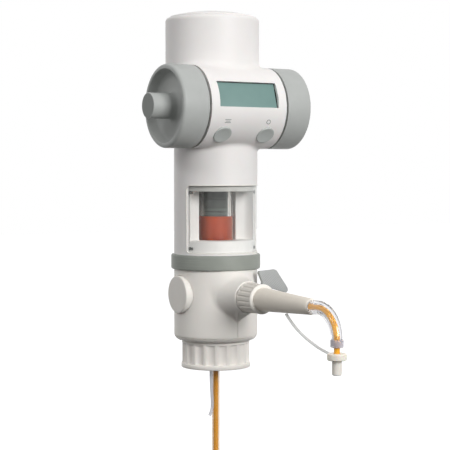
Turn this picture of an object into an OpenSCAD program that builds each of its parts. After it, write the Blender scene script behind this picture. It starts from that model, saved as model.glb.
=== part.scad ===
// Bottle-top digital burette, in millimetres.
// Origin: centre of the collar's lower rim. +Z is up, -Y is the front (display and
// nozzle), and the hand wheels turn about an axis along X.

/* [Bottle collar] */
// Outer radius of the fluted screw collar
collar_r = 26.5; // [26:0.1:27.5]
// Height of the collar
collar_h = 21.2; // [20:0.1:24]
// Radius of the collar's bore, which takes a 45 mm bottle neck
collar_bore_r = 22.75; // [22:0.05:23.2]
// Thickness of the collar's top wall
collar_top_t = 3.6; // [3:0.1:4.4]
// Height of the plain skirt under the flutes
skirt_h = 3.5; // [2.5:0.1:5]
// How far the skirt stands proud of the flutes
skirt_lip = 0.5; // [0.2:0.1:0.8]
// Number of grip flutes round the collar
collar_flutes = 18; // [12:1:22]
// Depth of a grip flute
collar_flute_depth = 0.9; // [0.5:0.1:1.3]
// Radius of the cutter that shapes a grip flute
collar_flute_r = 4.2; // [3.6:0.1:5]

/* [Valve housing] */
// Outer radius of the valve housing and of the column above it
column_r = 32.6; // [31.8:0.1:33]
// Wall thickness of the white mouldings
wall_t = 2.4; // [2:0.1:2.8]
// Height of the rounded base plate
base_h = 3.2; // [2.6:0.1:4]
// Rounding of the housing's lower edge
base_round = 5; // [4.5:0.1:6]
// Height of the valve housing above the base plate
housing_h = 52.3; // [50:0.1:56]
// Radius of the spigot that the collar turns on
spigot_r = 16; // [15:0.1:17]
// Thickness of the ring that keeps the collar on its spigot
retainer_h = 2.8; // [2:0.1:3.2]
// Overhang of that ring under the collar's top wall
retainer_lip = 4.5; // [3.5:0.1:5]
// Thickness of the flat seal for the bottle's mouth
seal_t = 1.8; // [1.4:0.1:2.4]
// Radius of the valve block's stem
block_r = 13.5; // [13:0.1:14]
// Radius of the liquid passages
passage_r = 1.5; // [1:0.1:1.8]
// Radius of the valve balls
ball_r = 2.5; // [2.2:0.1:2.8]
// Lift of a valve ball off its seat
ball_lift = 1.5; // [1:0.1:1.8]
// Height of the outlet axis above the housing's foot
outlet_rise = 33.3; // [32:0.1:35]

/* [Outlet boss and nut] */
// Radius of the boss at its end
boss_r = 12; // [11.8:0.1:12.6]
// Distance from the column axis to the boss's end
boss_reach = 48.5; // [47:0.1:51]
// Radius of the concave sweep from boss to housing
boss_sweep_r = 9; // [7:0.1:10]
// Radius of the outlet stem inside the nut
stem_r = 7.4; // [7:0.1:7.6]
// Length of the outlet nut
nut_len = 17.6; // [16:0.1:20]
// Radius of the nut at its back
nut_r = 11.6; // [11:0.1:11.8]
// Radius of the nut at its front
nut_front_r = 10.7; // [10.4:0.1:11]
// Number of grip ribs on the nut
nut_ribs = 18; // [14:1:22]
// Depth of the grooves between those ribs
nut_groove = 0.5; // [0.3:0.1:0.7]
// Width of those grooves
nut_groove_w = 1.9; // [1.2:0.1:2.2]

/* [Vent plug] */
// Radius of the plug's face
plug_r = 14.6; // [13.5:0.1:15]
// Distance from the column axis to the plug's face
plug_reach = 35; // [34.4:0.1:36]
// Depth of the plug's head behind its face
plug_head_t = 8; // [7.4:0.1:8.6]
// Radius of the plug's stem
plug_stem_r = 9; // [8:0.1:9.6]
// Length of the plug's stem
plug_stem_len = 9; // [8:0.1:10]

/* [Lock ring] */
// Height of the lock ring's band between housing and column
ring_h = 11.6; // [11:0.1:13]
// Outer radius of the lock ring
ring_r = 34.9; // [34.4:0.1:36]
// Rounding of the lock ring's edges
ring_round = 1.2; // [0.8:0.1:1.6]
// Thickness of the necks inside the lock ring
neck_t = 3.9; // [3.4:0.1:4.4]

/* [Window and carrier] */
// Height of the plain band under the window
window_foot = 1.9; // [1.6:0.1:2.4]
// Height of the clear window cover
window_h = 51.5; // [50:0.1:54]
// Half of the angle that the window cover wraps, in degrees
window_half_angle = 74; // [68:1:76]
// Corner radius of the window cover
window_corner_r = 3; // [2:0.1:4]
// Thickness of the window cover
cover_t = 1.5; // [1.2:0.1:1.8]
// Height of the carrier's sill above the window's lower edge
sill_h = 9; // [8:0.1:10]
// Height of the carrier's top bar under the window's upper edge
top_bar_h = 4.5; // [4:0.1:6]
// Distance of the carrier's side panels in front of the column axis
panel_y = 3; // [2:0.1:4]
// Half of the width of the slot that shows the barrel
slot_half_w = 16.5; // [15.5:0.1:17.5]
// Width of a cover clip
clip_w = 3; // [2:0.1:4]

/* [Barrel and piston] */
// Bore radius of the glass barrel
bore_r = 10; // [9.6:0.1:10.3]
// Wall thickness of the glass barrel
glass_t = 3.5; // [3:0.1:3.6]
// Length of the glass barrel
barrel_len = 77; // [76:0.1:80]
// Radial running clearance between piston and barrel
piston_gap = 0.05; // [0.03:0.01:0.08]
// Height of the piston's lower face above the barrel's foot
piston_rise = 29; // [27:0.1:31]
// Height of the piston's head
piston_h = 20; // [18:0.1:20.5]
// Height of a sealing lip on the piston
lip_h = 1.5; // [1:0.1:2]
// Radius of the piston rod
rod_r = 5; // [4.8:0.1:5.2]
// Length of the piston rod above the head
rod_len = 89; // [87:0.1:90]

/* [Drum and cap] */
// Height of the drum's axis above the barrel's top
drum_lift = 35.9; // [35.6:0.1:38.6]
// Distance of the drum's axis in front of the column's axis
drum_front = 18.6; // [18:0.1:19.2]
// Radius of the drum and of the hand wheels
drum_r = 31.5; // [31:0.1:32]
// Half of the drum's width
drum_half_w = 33; // [33:0.1:34]
// Radius of the cap above the drum
cap_r = 36.6; // [36:0.1:37.5]
// Distance of the cap's axis behind the column's axis
cap_back = 5.2; // [4.6:0.1:6]
// Height of the cap's rim above the drum's axis
cap_rise = 70.5; // [70:0.1:74]
// Rounding of the cap's rim
cap_round = 3; // [2:0.1:3.4]
// Height of the domed lid above the rim
dome_h = 5.1; // [4:0.1:6]

/* [Display and buttons] */
// Angle of the display's middle above the drum's front line
display_angle = 17; // [15:0.5:19]
// Width of the display opening
display_w = 52; // [48:0.5:54]
// Height of the display opening
display_h = 20; // [18:0.5:20]
// Depth of the LCD's face under the drum's crown
display_depth = 3.3; // [3:0.1:3.8]
// Angle of the buttons below the drum's front line
button_angle = 43; // [41:0.5:44]
// Distance of each button from the drum's middle
button_x = 19; // [17:0.1:20]
// Radius of a button
button_r = 7.4; // [7:0.05:8]
// Height of a button's face above the drum's crown
button_proud = 0.9; // [0.5:0.1:1.2]
// Travel of a button
button_travel = 0.9; // [0.5:0.1:1]

/* [Hand wheels] */
// Gap between the drum and each wheel
wheel_gap = 0.4; // [0.3:0.05:0.6]
// Width of a wheel's rim
wheel_w = 23.1; // [21:0.1:25]
// Rounding of a wheel's outer edge
wheel_round = 3.5; // [2:0.1:4]
// Width of the wheel's rim around the dish
rim_w = 4.2; // [4:0.1:5]
// Depth of the dish in the wheel's outer face
dish_depth = 9; // [7:0.1:10]
// Radius of the finger knob
knob_r = 9.7; // [9:0.1:10.5]
// Distance from the rim's outer edge to the knob's end
knob_proud = 13.5; // [12:0.1:15]
// Radius of the flare at the knob's root
knob_flare = 4; // [3:0.1:5]
// Radius of the wheel shaft
shaft_r = 3; // [2.6:0.1:3.1]

/* [Drive train] */
// Module of the reduction gears
gear_module = 0.6; // [0.58:0.01:0.62]
// Teeth on the wheel shaft's pinion
pinion_teeth = 16; // [16:1:17]
// Teeth on the reduction gear
gear_teeth = 48; // [46:1:48]
// Module of the rack and its pinion
rack_module = 0.8; // [0.78:0.01:0.82]
// Teeth on the rack's pinion
rack_pinion_teeth = 14; // [13:1:14]
// Pressure angle of all teeth, in degrees
pressure_angle = 25; // [24:0.5:25]
// Backlash taken from each tooth
tooth_backlash = 0.12; // [0.08:0.01:0.16]
// Width of the reduction gears
gear_w = 4; // [3:0.1:4.5]
// Radius of the gear shaft
gear_shaft_r = 2.5; // [2.2:0.1:2.6]

/* [Nozzle] */
// Straight length of the elbow between sleeve and bend
elbow_lead = 8.2; // [6:0.1:10]
// Radius of the sleeve at the nut
sleeve_r = 8.8; // [8.2:0.1:9.2]
// Radius of the sleeve at its end
sleeve_end_r = 5.4; // [5.3:0.1:6]
// Distance from the column axis to the tip axis
nozzle_reach = 161; // [158:0.1:164]
// Bend radius of the clear elbow
elbow_bend_r = 21.5; // [20:0.1:23]
// Radius of the elbow at the sleeve
elbow_r = 5.3; // [5:0.1:5.3]
// Radius of the elbow at the tip
elbow_tip_r = 3.8; // [3.7:0.1:3.9]
// Outer radius of the inner dispensing tube
tube_r = 2.15; // [1.9:0.05:2.3]
// Radius of the tip fitting
fitting_r = 4.6; // [4.5:0.05:5]
// Height of the tip fitting
fitting_h = 5.3; // [4.5:0.1:6]
// Length of the tube below the tip fitting
tip_len = 14; // [12:0.1:16]

/* [Tip cap] */
// Gap between the tip fitting and the cap's flange
cap_gap = 4.2; // [3:0.1:5]
// Radius of the cap's flange
flange_r = 6.8; // [6:0.1:7.4]
// Thickness of the cap's flange
flange_t = 4.7; // [4:0.1:5.4]
// Radius of the cap's body
tip_cap_r = 3.4; // [3.2:0.1:4]
// Length of the cap's body under the flange
tip_cap_len = 10.3; // [9:0.1:12]

/* [Lever] */
// Distance of the lever's axis to the side of the column axis
lever_x = 21.5; // [21.4:0.1:22]
// Height of the lever's axis above the outlet axis
lever_rise = 1.5; // [1:0.1:2]
// Radius of the lever's hub
hub_r = 3.6; // [3.4:0.1:3.8]
// Thickness of the lever's plate
lever_t = 3; // [2.6:0.1:3.4]
// Distance of the lever's front face in front of the column axis
lever_front = 36.4; // [36:0.1:37]
// Radius of the lever's spindle
spindle_r = 3; // [2.6:0.1:3]

/* [Tubes] */
// Reach of the filling tube below the collar's rim
fill_reach = 196; // [180:1:220]
// Outer radius of the filling tube
fill_r = 3; // [2.8:0.1:3.2]
// Wall thickness of the filling tube
fill_wall = 1; // [0.8:0.1:1.2]
// Outer radius of the return tube
return_r = 1.2; // [1.1:0.05:1.3]

/* [Fits] */
// Radial clearance of a running fit
run_gap = 0.06; // [0.03:0.01:0.09]
// Free gap between pieces that move past each other
free_gap = 0.3; // [0.2:0.05:0.4]

/* [Hidden] */
$fn = 96;

white = "whitesmoke";
grey = "darkgray";
dark = "dimgray";
eps = 0.01;

// Levels, from the rim upwards
base_z = collar_h + free_gap;
housing_z = base_z + base_h;
ring_z = housing_z + housing_h;
column_z = ring_z + ring_h;
split_z = ring_z + ring_h / 2;
window_z = column_z + window_foot;
outlet_z = housing_z + outlet_rise;
barrel_z = window_z - 1.5;
barrel_top_z = barrel_z + barrel_len;
drum_z = barrel_top_z + drum_lift;
cap_z = drum_z + cap_rise;

// Collar and its bearing
collar_roof_z = collar_h - collar_top_t;
retainer_z = collar_roof_z - free_gap - retainer_h;
mouth_z = retainer_z - seal_t;
spigot_bore_r = spigot_r - 4;

// Housing edge: the angle at which the rounding meets the parting line
edge_angle = asin((base_h - base_round) / base_round);
inner_r = column_r - wall_t;
neck_r = ring_r - ring_round - neck_t;
neck_bore_r = neck_r - neck_t;

// Valve block and barrel
seat_t = 3;
seat_z = window_z - seat_t;
barrel_r = bore_r + glass_t;
seat_flange_r = barrel_r + 3.5;
chamber_r = ball_r + 0.7;
suction_z = housing_z + 8;
discharge_y = block_r + 3;
seat_drop = sqrt(pow(ball_r, 2) - pow(passage_r, 2));
chamber_h = seat_drop + ball_r + ball_lift;

// Drive train
shaft_pinion_r = gear_module * pinion_teeth / 2;
gear_pitch_r = gear_module * gear_teeth / 2;
rack_pinion_r = rack_module * rack_pinion_teeth / 2;
rack_pitch_y = rod_r - 1.5;
gear_axis_y = -rack_pitch_y - rack_pinion_r;
gear_centre = shaft_pinion_r + gear_pitch_r;
gear_axis_z = drum_z - sqrt(pow(gear_centre, 2) - pow(gear_axis_y + drum_front, 2));
mesh_angle = atan2(gear_axis_z - drum_z, gear_axis_y + drum_front);
piston_z = barrel_z + piston_rise;
rod_z = piston_z + piston_h;
rack_pitch = PI * rack_module;
rod_top = 14;
pillar_x = barrel_r - 2.7;
pillar_t = 3;
gear_x = pillar_x + pillar_t + 1.2;
bracket_t = 3;
guide_t = 6;
guide_w = 17;
guide_z = drum_z - 8.9;

// Drum and cap
drum_inner_r = drum_r - wall_t;
cap_inner_r = cap_r - wall_t;
plate_t = 2.5;
plate_x = drum_half_w - plate_t;
wheel_x = drum_half_w + wheel_gap;
arch_gap = 0.8;
cap_foot_z = drum_z - drum_r + 2.1;
cap_foot_h = 8.5;
cap_foot_r = cap_r - 10.6;
cavity_floor_z = cap_foot_z + cap_foot_h + 2;
lid_r = cap_inner_r - 2.8;
lcd_t = 2.2;
lcd_radius = drum_r - display_depth;
board_t = 1.5;
display_board_radius = lcd_radius - lcd_t - board_t;
button_face_radius = drum_r + button_proud;
button_flange_radius = drum_inner_r - 3.9;
button_flange_t = 2;
key_board_h = 18;
switch_w = 6;
switch_t = 0.9;
switch_h = 1.5;
switch_r = 1.7;
key_board_radius = button_flange_radius - button_travel - 0.1 - switch_h - board_t;
encoder_r = 16;
encoder_t = 1;
encoder_x = 22.5;
encoder_slots = 24;
slot_w = 1.4;
slot_depth = 2.6;
slot_r = 12.2;
sensor_w = 8;
sensor_gap = 5;
holder_t = 2;
holder_w = 48;
shelf_t = 3;
battery_r = 5.25;
battery_len = 44.5;
battery_x = 14;
battery_y = 24;
battery_z = drum_z + 12;

// Nozzle
nut_y = boss_reach + free_gap;
collar_y = nut_y + nut_len + free_gap;
keel_drop = 19;
keel_back = 26;
nut_taper = atan((nut_r - nut_front_r) / nut_len);
nozzle_collar_t = 1.5;
sleeve_y = collar_y + nozzle_collar_t;
bend_y = nozzle_reach - elbow_bend_r;
sleeve_end_y = bend_y - elbow_lead;
elbow_end_z = outlet_z - elbow_bend_r;
fitting_z = elbow_end_z - 3.8;
tip_z = fitting_z - tip_len;
flange_z = fitting_z - cap_gap;
elbow_inset = 3;
sleeve_wall = 1.8;
elbow_spigot_r = elbow_r - 1.1;
elbow_play = 0.25;
fitting_floor = 1.2;

// Strap from the sleeve's underside to the cap's flange, as (y, z) in its plane,
// measured from the tip axis and from the flange's underside
strap_w = 2.4;
strap_flat = 0.8;
STRAP = [[-62, 26], [-60, 24.4], [-55, 20.7], [-50, 17.5], [-45, 14.9], [-40, 12.6], [-35, 10.6],
    [-30, 8.8], [-25, 7.2], [-20, 5.8], [-15, 4.7], [-11, 3.9], [-7.5, 3.2]];

// Depth of the filling tube's socket in the valve block
fill_socket = 12;

// Return tube's centre line, as (x, z) from its socket
return_x = -7.5;
return_y = -5.3;
RETURN = [[0, 3], [0, -4], [0, -12], [0.1, -20], [0.4, -27], [0.8, -34], [1.1, -40],
    [0.9, -44.5], [0, -47.6], [-1.4, -50.4]];

// ---- Shapes ----

function arc(cx, cy, r, a0, a1, n = 8) =
    [for (i = [0:n]) let (a = a0 + (a1 - a0) * i / n) [cx + r * cos(a), cy + r * sin(a)]];

// Cylinder along X from x0 to x1
module x_rod(r, x0, x1)
    translate([x0, 0, 0]) rotate([0, 90, 0]) cylinder(r = r, h = x1 - x0);

// Cone or cylinder towards the front, from y0 to y1 in front of the column axis
module front_rod(r0, r1, y0, y1)
    translate([0, -y0, 0]) rotate([90, 0, 0]) cylinder(r1 = r0, r2 = r1, h = y1 - y0);

// A profile of (radius, distance) turned round an axis that points to the front
module front_turned(points)
    rotate([90, 0, 0]) rotate_extrude() polygon(points);

// A flat (y, z) outline given thickness along X from x0 to x1
module side_plate(x0, x1)
    translate([x0, 0, 0]) rotate([90, 0, 90]) linear_extrude(x1 - x0) children();

// Local frame on the drum: +Z is the outward normal at an angle above the front line
module on_drum(angle)
    translate([0, -drum_front, drum_z]) rotate([90 - angle, 0, 0]) children();

module ring(r0, r1, z0, z1)
    translate([0, 0, z0]) difference() {
        cylinder(r = r1, h = z1 - z0);
        translate([0, 0, -1]) cylinder(r = r0, h = z1 - z0 + 2);
    }

// Rectangle with rounded corners, centred
module rounded_rect(w, h, r) {
    square([w - 2 * r, h], center = true);
    square([w, h - 2 * r], center = true);
    for (sx = [-1, 1], sy = [-1, 1])
        translate([sx * (w / 2 - r), sy * (h / 2 - r)]) circle(r);
}

// Tube or bar swept along points, with one radius for each point. Rings lie square to
// the path, turned about a side direction that the path never follows.
function unit(v) = v / norm(v);
function ring_at(p, t, side, r, n, flat) =
    let (u = unit(side - (side * t) * t), w = cross(t, u))
    [for (k = [0:n - 1]) p + r * cos(360 * k / n) * u + flat * r * sin(360 * k / n) * w];
module swept(path, radii, side, n = 10, flat = 1) {
    m = len(path);
    tangents = [for (i = [0:m - 1])
        unit(path[min(i + 1, m - 1)] - path[max(i - 1, 0)])];
    rings = [for (i = [0:m - 1])
        each ring_at(path[i], tangents[i], side, radii[i], n, flat)];
    skin = [for (i = [0:m - 2], k = [0:n - 1])
        let (a = i * n + k, b = i * n + (k + 1) % n) [a, b, b + n, a + n]];
    tris = [for (f = skin) each [[f[0], f[2], f[1]], [f[0], f[3], f[2]]]];
    polyhedron(rings, concat(tris, [[for (k = [0:n - 1]) k]],
        [[for (k = [n - 1:-1:0]) (m - 1) * n + k]]));
}

// ---- Teeth ----

function inv_deg(a) = tan(a) * 180 / PI - a;
function flank(r, pitch_r, teeth) =
    let (base = pitch_r * cos(pressure_angle), a = acos(min(1, base / r)))
    90 / teeth - tooth_backlash / 2 / pitch_r * 180 / PI + inv_deg(pressure_angle)
        - inv_deg(a);

// Involute spur gear outline with a tooth on the +X side
module gear_outline(modul, teeth) {
    pitch_r = modul * teeth / 2;
    root_r = pitch_r - 1.25 * modul;
    tip_r = pitch_r + modul;
    steps = [for (i = [0:4]) root_r + (tip_r - root_r) * i / 4];
    polygon([for (k = [0:teeth - 1]) each concat(
        [for (r = steps) let (a = 360 * k / teeth - flank(r, pitch_r, teeth))
            r * [cos(a), sin(a)]],
        [for (i = [4:-1:0]) let (r = steps[i], a = 360 * k / teeth + flank(r, pitch_r, teeth))
            r * [cos(a), sin(a)]])]);
}

// One gap of the rack, as a (y, z) outline about its pitch point
module rack_gap() {
    half_p = rack_pitch / 4 + tooth_backlash / 2;
    root = 1.25 * rack_module;
    tip = rod_r;
    slope = tan(pressure_angle);
    polygon([[root, half_p - root * slope], [root, -half_p + root * slope],
        [-tip, -half_p - tip * slope], [-tip, half_p + tip * slope]]);
}

// ---- Collar ----

module collar() color(white) difference() {
    union() {
        cylinder(r = collar_r + skirt_lip, h = skirt_h);
        rotate_extrude() polygon(concat([[0, skirt_h - 1]], [[collar_r, skirt_h - 1]],
            arc(collar_r - 1, collar_h - 1, 1, 0, 90, 4), [[0, collar_h]]));
    }
    for (k = [0:collar_flutes - 1])
        rotate([0, 0, (k + 0.5) * 360 / collar_flutes])
            translate([collar_r + collar_flute_r - collar_flute_depth, 0, skirt_h + 0.4])
                cylinder(r = collar_flute_r, h = collar_h);
    translate([0, 0, -1]) cylinder(r = collar_bore_r, h = collar_roof_z + 1);
    translate([0, 0, -1]) cylinder(r = spigot_r + run_gap, h = collar_h + 2);
}

module collar_retainer() color(white)
    ring(spigot_r, spigot_r + retainer_lip, retainer_z, retainer_z + retainer_h);

module bottle_seal() color(dark)
    ring(spigot_bore_r, spigot_r + retainer_lip, mouth_z, retainer_z);

module base_plate() color(white) rotate_extrude() polygon(concat(
    [[spigot_bore_r, retainer_z], [spigot_r, retainer_z], [spigot_r, base_z]],
    arc(column_r - base_round, base_z + base_round, base_round, -90, edge_angle - 4, 6),
    [[column_r - base_round + base_round * cos(edge_angle) - 0.4, housing_z],
        [spigot_bore_r, housing_z]]));

// ---- Valve housing ----

module housing_outer() {
    rotate_extrude() polygon(concat([[0, housing_z],
        [column_r - base_round + base_round * cos(edge_angle) - 0.4, housing_z]],
        arc(column_r - base_round, base_z + base_round, base_round, edge_angle + 4, 0, 4),
        [[column_r, ring_z], [0, ring_z]]));
    translate([0, 0, outlet_z]) front_turned(concat([[0, 20], [boss_r + boss_sweep_r - 3, 20]],
        [for (p = arc(boss_r + 0.6 + boss_sweep_r, boss_reach - 6, boss_sweep_r, 240, 180, 6))
            [p[0], p[1] - 1]],
        [[boss_r + 0.4, boss_reach - 1], [boss_r - 0.4, boss_reach], [0, boss_reach]]));
    keel();
}

// Keel under the boss, running down into the housing's front
module keel() hull() {
    translate([0, 0, outlet_z])
        front_rod(boss_r + 1, boss_r - 0.6, keel_back, boss_reach - 3.5, $fn = 48);
    translate([0, 0, outlet_z - keel_drop])
        front_rod(1.2, 0.8, keel_back, column_r + 0.1, $fn = 24);
}

// Solid socket inside the housing, kept within its outer skin
module socket() intersection() {
    ring(block_r, column_r - 0.6, housing_z, ring_z);
    children();
}

module valve_housing() color(white) difference() {
    union() {
        difference() {
            housing_outer();
            translate([0, 0, housing_z - 1])
                cylinder(r = inner_r, h = housing_h - wall_t + 1);
        }
        ring(neck_bore_r, neck_r, ring_z - eps, split_z);
        socket() translate([0, 0, outlet_z])
            x_rod(plug_r + 3, -column_r, -block_r + 3);
        socket() translate([0, 0, outlet_z])
            front_rod(stem_r + 3, stem_r + 3, 0, column_r);
        socket() translate([lever_x, 0, outlet_z + lever_rise])
            front_rod(spindle_r + 2.5, spindle_r + 2.5, 12, column_r);
    }
    cylinder(r = block_r, h = ring_z + 1);
    translate([0, 0, ring_z + eps]) cylinder(r = neck_bore_r, h = ring_h);
    // Outlet stem
    translate([0, 0, outlet_z]) front_rod(stem_r, stem_r, 0, boss_reach + 1);
    // Plug pocket and the bore for its stem
    translate([0, 0, outlet_z]) {
        x_rod(plug_r + free_gap, -plug_reach - 5, plug_head_t - plug_reach);
        x_rod(plug_stem_r + run_gap, -plug_reach, 0);
    }
    translate([lever_x, 0, outlet_z + lever_rise])
        front_rod(spindle_r + run_gap, spindle_r + run_gap, 12, column_r + 20);
    // Mould seam on the front, under the keel
    translate([-0.25, -column_r - 1, housing_z - 1])
        cube([0.5, 1.4, outlet_rise - keel_drop - 0.5]);
}

// ---- Valve block with its passages ----

module valve_block() color("white") difference() {
    union() {
        translate([0, 0, mouth_z]) cylinder(r = spigot_bore_r, h = housing_z - mouth_z);
        translate([0, 0, housing_z]) cylinder(r = block_r, h = window_z - housing_z);
        ring(block_r - 1, seat_flange_r, seat_z - 3, window_z);
    }
    // Seat for the barrel
    translate([0, 0, seat_z]) cylinder(r = barrel_r, h = seat_t + 1);
    // Suction passage, with the ball's seat and chamber
    translate([0, 0, mouth_z - 1]) cylinder(r = passage_r, h = seat_z);
    translate([0, 0, suction_z - seat_drop]) cylinder(r = chamber_r, h = chamber_h);
    translate([0, 0, outlet_z]) cylinder(r = passage_r, h = seat_z);
    // Tube sockets
    translate([0, 0, mouth_z - 1]) cylinder(r = fill_r, h = fill_socket + 1);
    translate([return_x, return_y, mouth_z - 1]) cylinder(r = return_r, h = 5);
    translate([return_x, return_y, mouth_z - 1])
        cylinder(r = return_r / 2, h = outlet_z - mouth_z + 1);
    // Discharge passage towards the outlet stem
    translate([0, 0, outlet_z]) front_rod(passage_r, passage_r, 0, block_r + 1);
    // Bore that the lever's spindle opens and shuts
    translate([0, 0, outlet_z]) intersection() {
        front_rod(stem_r, stem_r, block_r - 1.5, block_r + 1);
        cube(4 * stem_r, center = true);
    }
}

module suction_ball() color("lightgray")
    translate([0, 0, suction_z]) sphere(ball_r);

// Stem in the boss: it holds the discharge ball and guides the nut
module outlet_stem() color("white") translate([0, 0, outlet_z]) difference() {
    front_rod(stem_r, stem_r, block_r - 1.5, collar_y + nozzle_collar_t);
    front_rod(passage_r, passage_r, 0, sleeve_y + 1);
    front_rod(chamber_r, chamber_r, discharge_y, discharge_y + chamber_h);
    front_rod(tube_r, tube_r, discharge_y + chamber_h + 4, sleeve_y + 1);
}

module discharge_ball() color("lightgray")
    translate([0, -discharge_y - seat_drop, outlet_z]) sphere(ball_r);

module vent_plug() color(white) translate([0, 0, outlet_z]) {
    translate([-plug_reach, 0, 0]) rotate([0, 90, 0]) rotate_extrude()
        polygon(concat([[0, 0]], arc(plug_r - 0.8, 0.8, 0.8, -90, 0, 4),
            [[plug_r, plug_head_t - 0.1], [0, plug_head_t - 0.1]]));
    x_rod(plug_stem_r, -plug_reach + plug_head_t - 1, -plug_reach + plug_head_t + plug_stem_len);
}

module lock_ring() color(grey) rotate_extrude() polygon(concat(
    [[neck_r + run_gap, ring_z + 0.1]],
    arc(ring_r - ring_round, ring_z + 0.1 + ring_round, ring_round, -90, 0, 5),
    arc(ring_r - ring_round, column_z - 0.1 - ring_round, ring_round, 0, 90, 5),
    [[neck_r + run_gap, column_z - 0.1]]));

// ---- Window, carrier, barrel ----

module wedge(half_angle) {
    far = 60;
    translate([0, 0, window_z - 10]) linear_extrude(window_h + 20) polygon([[0, 0],
        far * [-sin(half_angle), -cos(half_angle)], far * [-sin(half_angle), -1],
        far * [sin(half_angle), -1], far * [sin(half_angle), -cos(half_angle)]]);
}

// The window's outline, grown by a gap on every side
module window_outline(grow) {
    half = window_half_angle + asin(grow / column_r);
    // The cutters stand a little outside the corners, so that no edges coincide
    overrun = 0.12;
    corner = asin((window_corner_r - overrun) / column_r);
    beyond = window_corner_r + 1;
    h = window_h + 2 * grow;
    difference() {
        intersection() {
            wedge(half);
            translate([0, 0, window_z - grow]) cylinder(r = column_r + 5, h = h);
        }
        for (side = [-1, 1], end = [-1, 1])
            rotate([0, 0, side * (half - corner)])
                translate([0, -10, window_z + (window_h + end * (h - 2 * window_corner_r + overrun)) / 2])
                    rotate([90, 0, 0]) linear_extrude(column_r) polygon([
                        for (p = concat(arc(0, 0, window_corner_r, 0, 90, 6),
                            [[0, beyond], [beyond, beyond], [beyond, 0]]))
                        [side * p[0], end * p[1]]]);
    }
}

module window_cover() color("lightcyan", 0.3) intersection() {
    ring(column_r - cover_t, column_r, window_z, window_z + window_h);
    window_outline(-0.12);
}

// Four small catches between the cover and the carrier
module cover_clips() color(dark) intersection() {
    ring(column_r - cover_t - 1.2, column_r - cover_t, window_z, window_z + window_h);
    union() for (side = [-1, 1], z = [window_z + 2, window_z + window_h - 6.4])
        rotate([0, 0, side * (window_half_angle - 7)]) translate([-clip_w / 2, -40, z])
            cube([clip_w, 40, 2.4]);
}

// White frame round the barrel: sill, top bar and head plate, a front panel with the
// slot that shows the barrel, and a trough behind it
module barrel_carrier() color("white") difference() {
    frame_r = column_r - cover_t - 1.2;
    slot_z = window_z + sill_h;
    slot_h = window_h - sill_h - top_bar_h;
    union() {
        for (band = [[window_z, slot_z], [slot_z + slot_h, window_z + window_h + wall_t],
                [barrel_top_z - wall_t, barrel_top_z]])
            translate([0, 0, band[0]]) cylinder(r = frame_r, h = band[1] - band[0]);
        intersection() {
            translate([0, 0, window_z]) cylinder(r = frame_r, h = barrel_len - 2);
            translate([-40, -panel_y, slot_z - 1]) difference() {
                cube([80, wall_t, barrel_top_z - slot_z]);
                translate([40, wall_t + 1, 1 + slot_h / 2]) rotate([90, 0, 0])
                    linear_extrude(wall_t + 2) rounded_rect(2 * slot_half_w, slot_h, 1.5);
            }
        }
        intersection() {
            ring(slot_half_w, slot_half_w + wall_t, window_z, barrel_top_z);
            translate([-40, -panel_y, window_z]) cube([80, 80, barrel_len]);
        }
    }
    translate([0, 0, window_z - 1]) cylinder(r = barrel_r + 0.1, h = barrel_len + 5);
}

module barrel_seal() color(dark) ring(bore_r + 0.5, barrel_r - 0.2, seat_z, barrel_z);

module glass_barrel() color("lightcyan", 0.35)
    ring(bore_r, barrel_r, barrel_z, barrel_top_z);

// ---- Piston ----

module piston_head() color(dark) translate([0, 0, piston_z]) rotate_extrude() polygon([
    [0, 0], [bore_r - 0.6, 0], [bore_r - 0.3, 0.3], [bore_r - 0.3, lip_h],
    [bore_r - 1.2, lip_h], [bore_r - 1.2, 2 * lip_h], [bore_r - 0.3, 2 * lip_h],
    [bore_r - 0.3, 3 * lip_h], [bore_r - 1.2, 3 * lip_h], [bore_r - 1.2, 4 * lip_h],
    [bore_r - 0.3, 4 * lip_h], [bore_r - 0.3, piston_h], [0, piston_h]]);

module piston_lips() color("gray") for (k = [1, 3])
    ring(bore_r - 1.2, bore_r - piston_gap, piston_z + k * lip_h, piston_z + (k + 1) * lip_h);

module piston_rod() color(white) difference() {
    translate([0, 0, rod_z]) cylinder(r = rod_r, h = rod_len);
    // Flat at the teeth's tips
    translate([-rod_r, -rod_r - 5, rod_z + 2])
        cube([2 * rod_r, 5 + rod_r - rack_pitch_y - rack_module, rod_len - rod_top + 2]);
    // Gaps, from the pinion's mesh point up to the plain top and down to the head
    gaps = floor((rod_len - rod_top) / rack_pitch);
    lowest = ceil((gear_axis_z - rod_z - rod_len + rod_top) / rack_pitch);
    for (k = [lowest:lowest + gaps - 1])
        translate([0, -rack_pitch_y, gear_axis_z - k * rack_pitch])
            side_plate(-rod_r - 1, rod_r + 1) rack_gap();
}

// ---- Head: column, drum and cap in one moulding ----

module cap_body() translate([0, cap_back, 0]) rotate_extrude() polygon(concat(
    [[0, cap_foot_z], [cap_foot_r, cap_foot_z], [cap_r, cap_foot_z + cap_foot_h]],
    arc(cap_r - cap_round, cap_z - cap_round, cap_round, 0, 90, 6), [[0, cap_z]]));

module head_outer() difference() {
    union() {
        ring(neck_bore_r, neck_r, split_z, column_z + eps);
        translate([0, 0, column_z]) cylinder(r = column_r, h = drum_z - column_z);
        translate([0, -drum_front, drum_z]) x_rod(drum_r, -drum_half_w, drum_half_w);
        cap_body();
    }
    // Arches that leave room for the wheels
    for (side = [0, 180]) translate([0, -drum_front, drum_z]) rotate([0, 0, side])
        x_rod(drum_r + arch_gap, drum_half_w, drum_half_w + 40);
}

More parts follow.
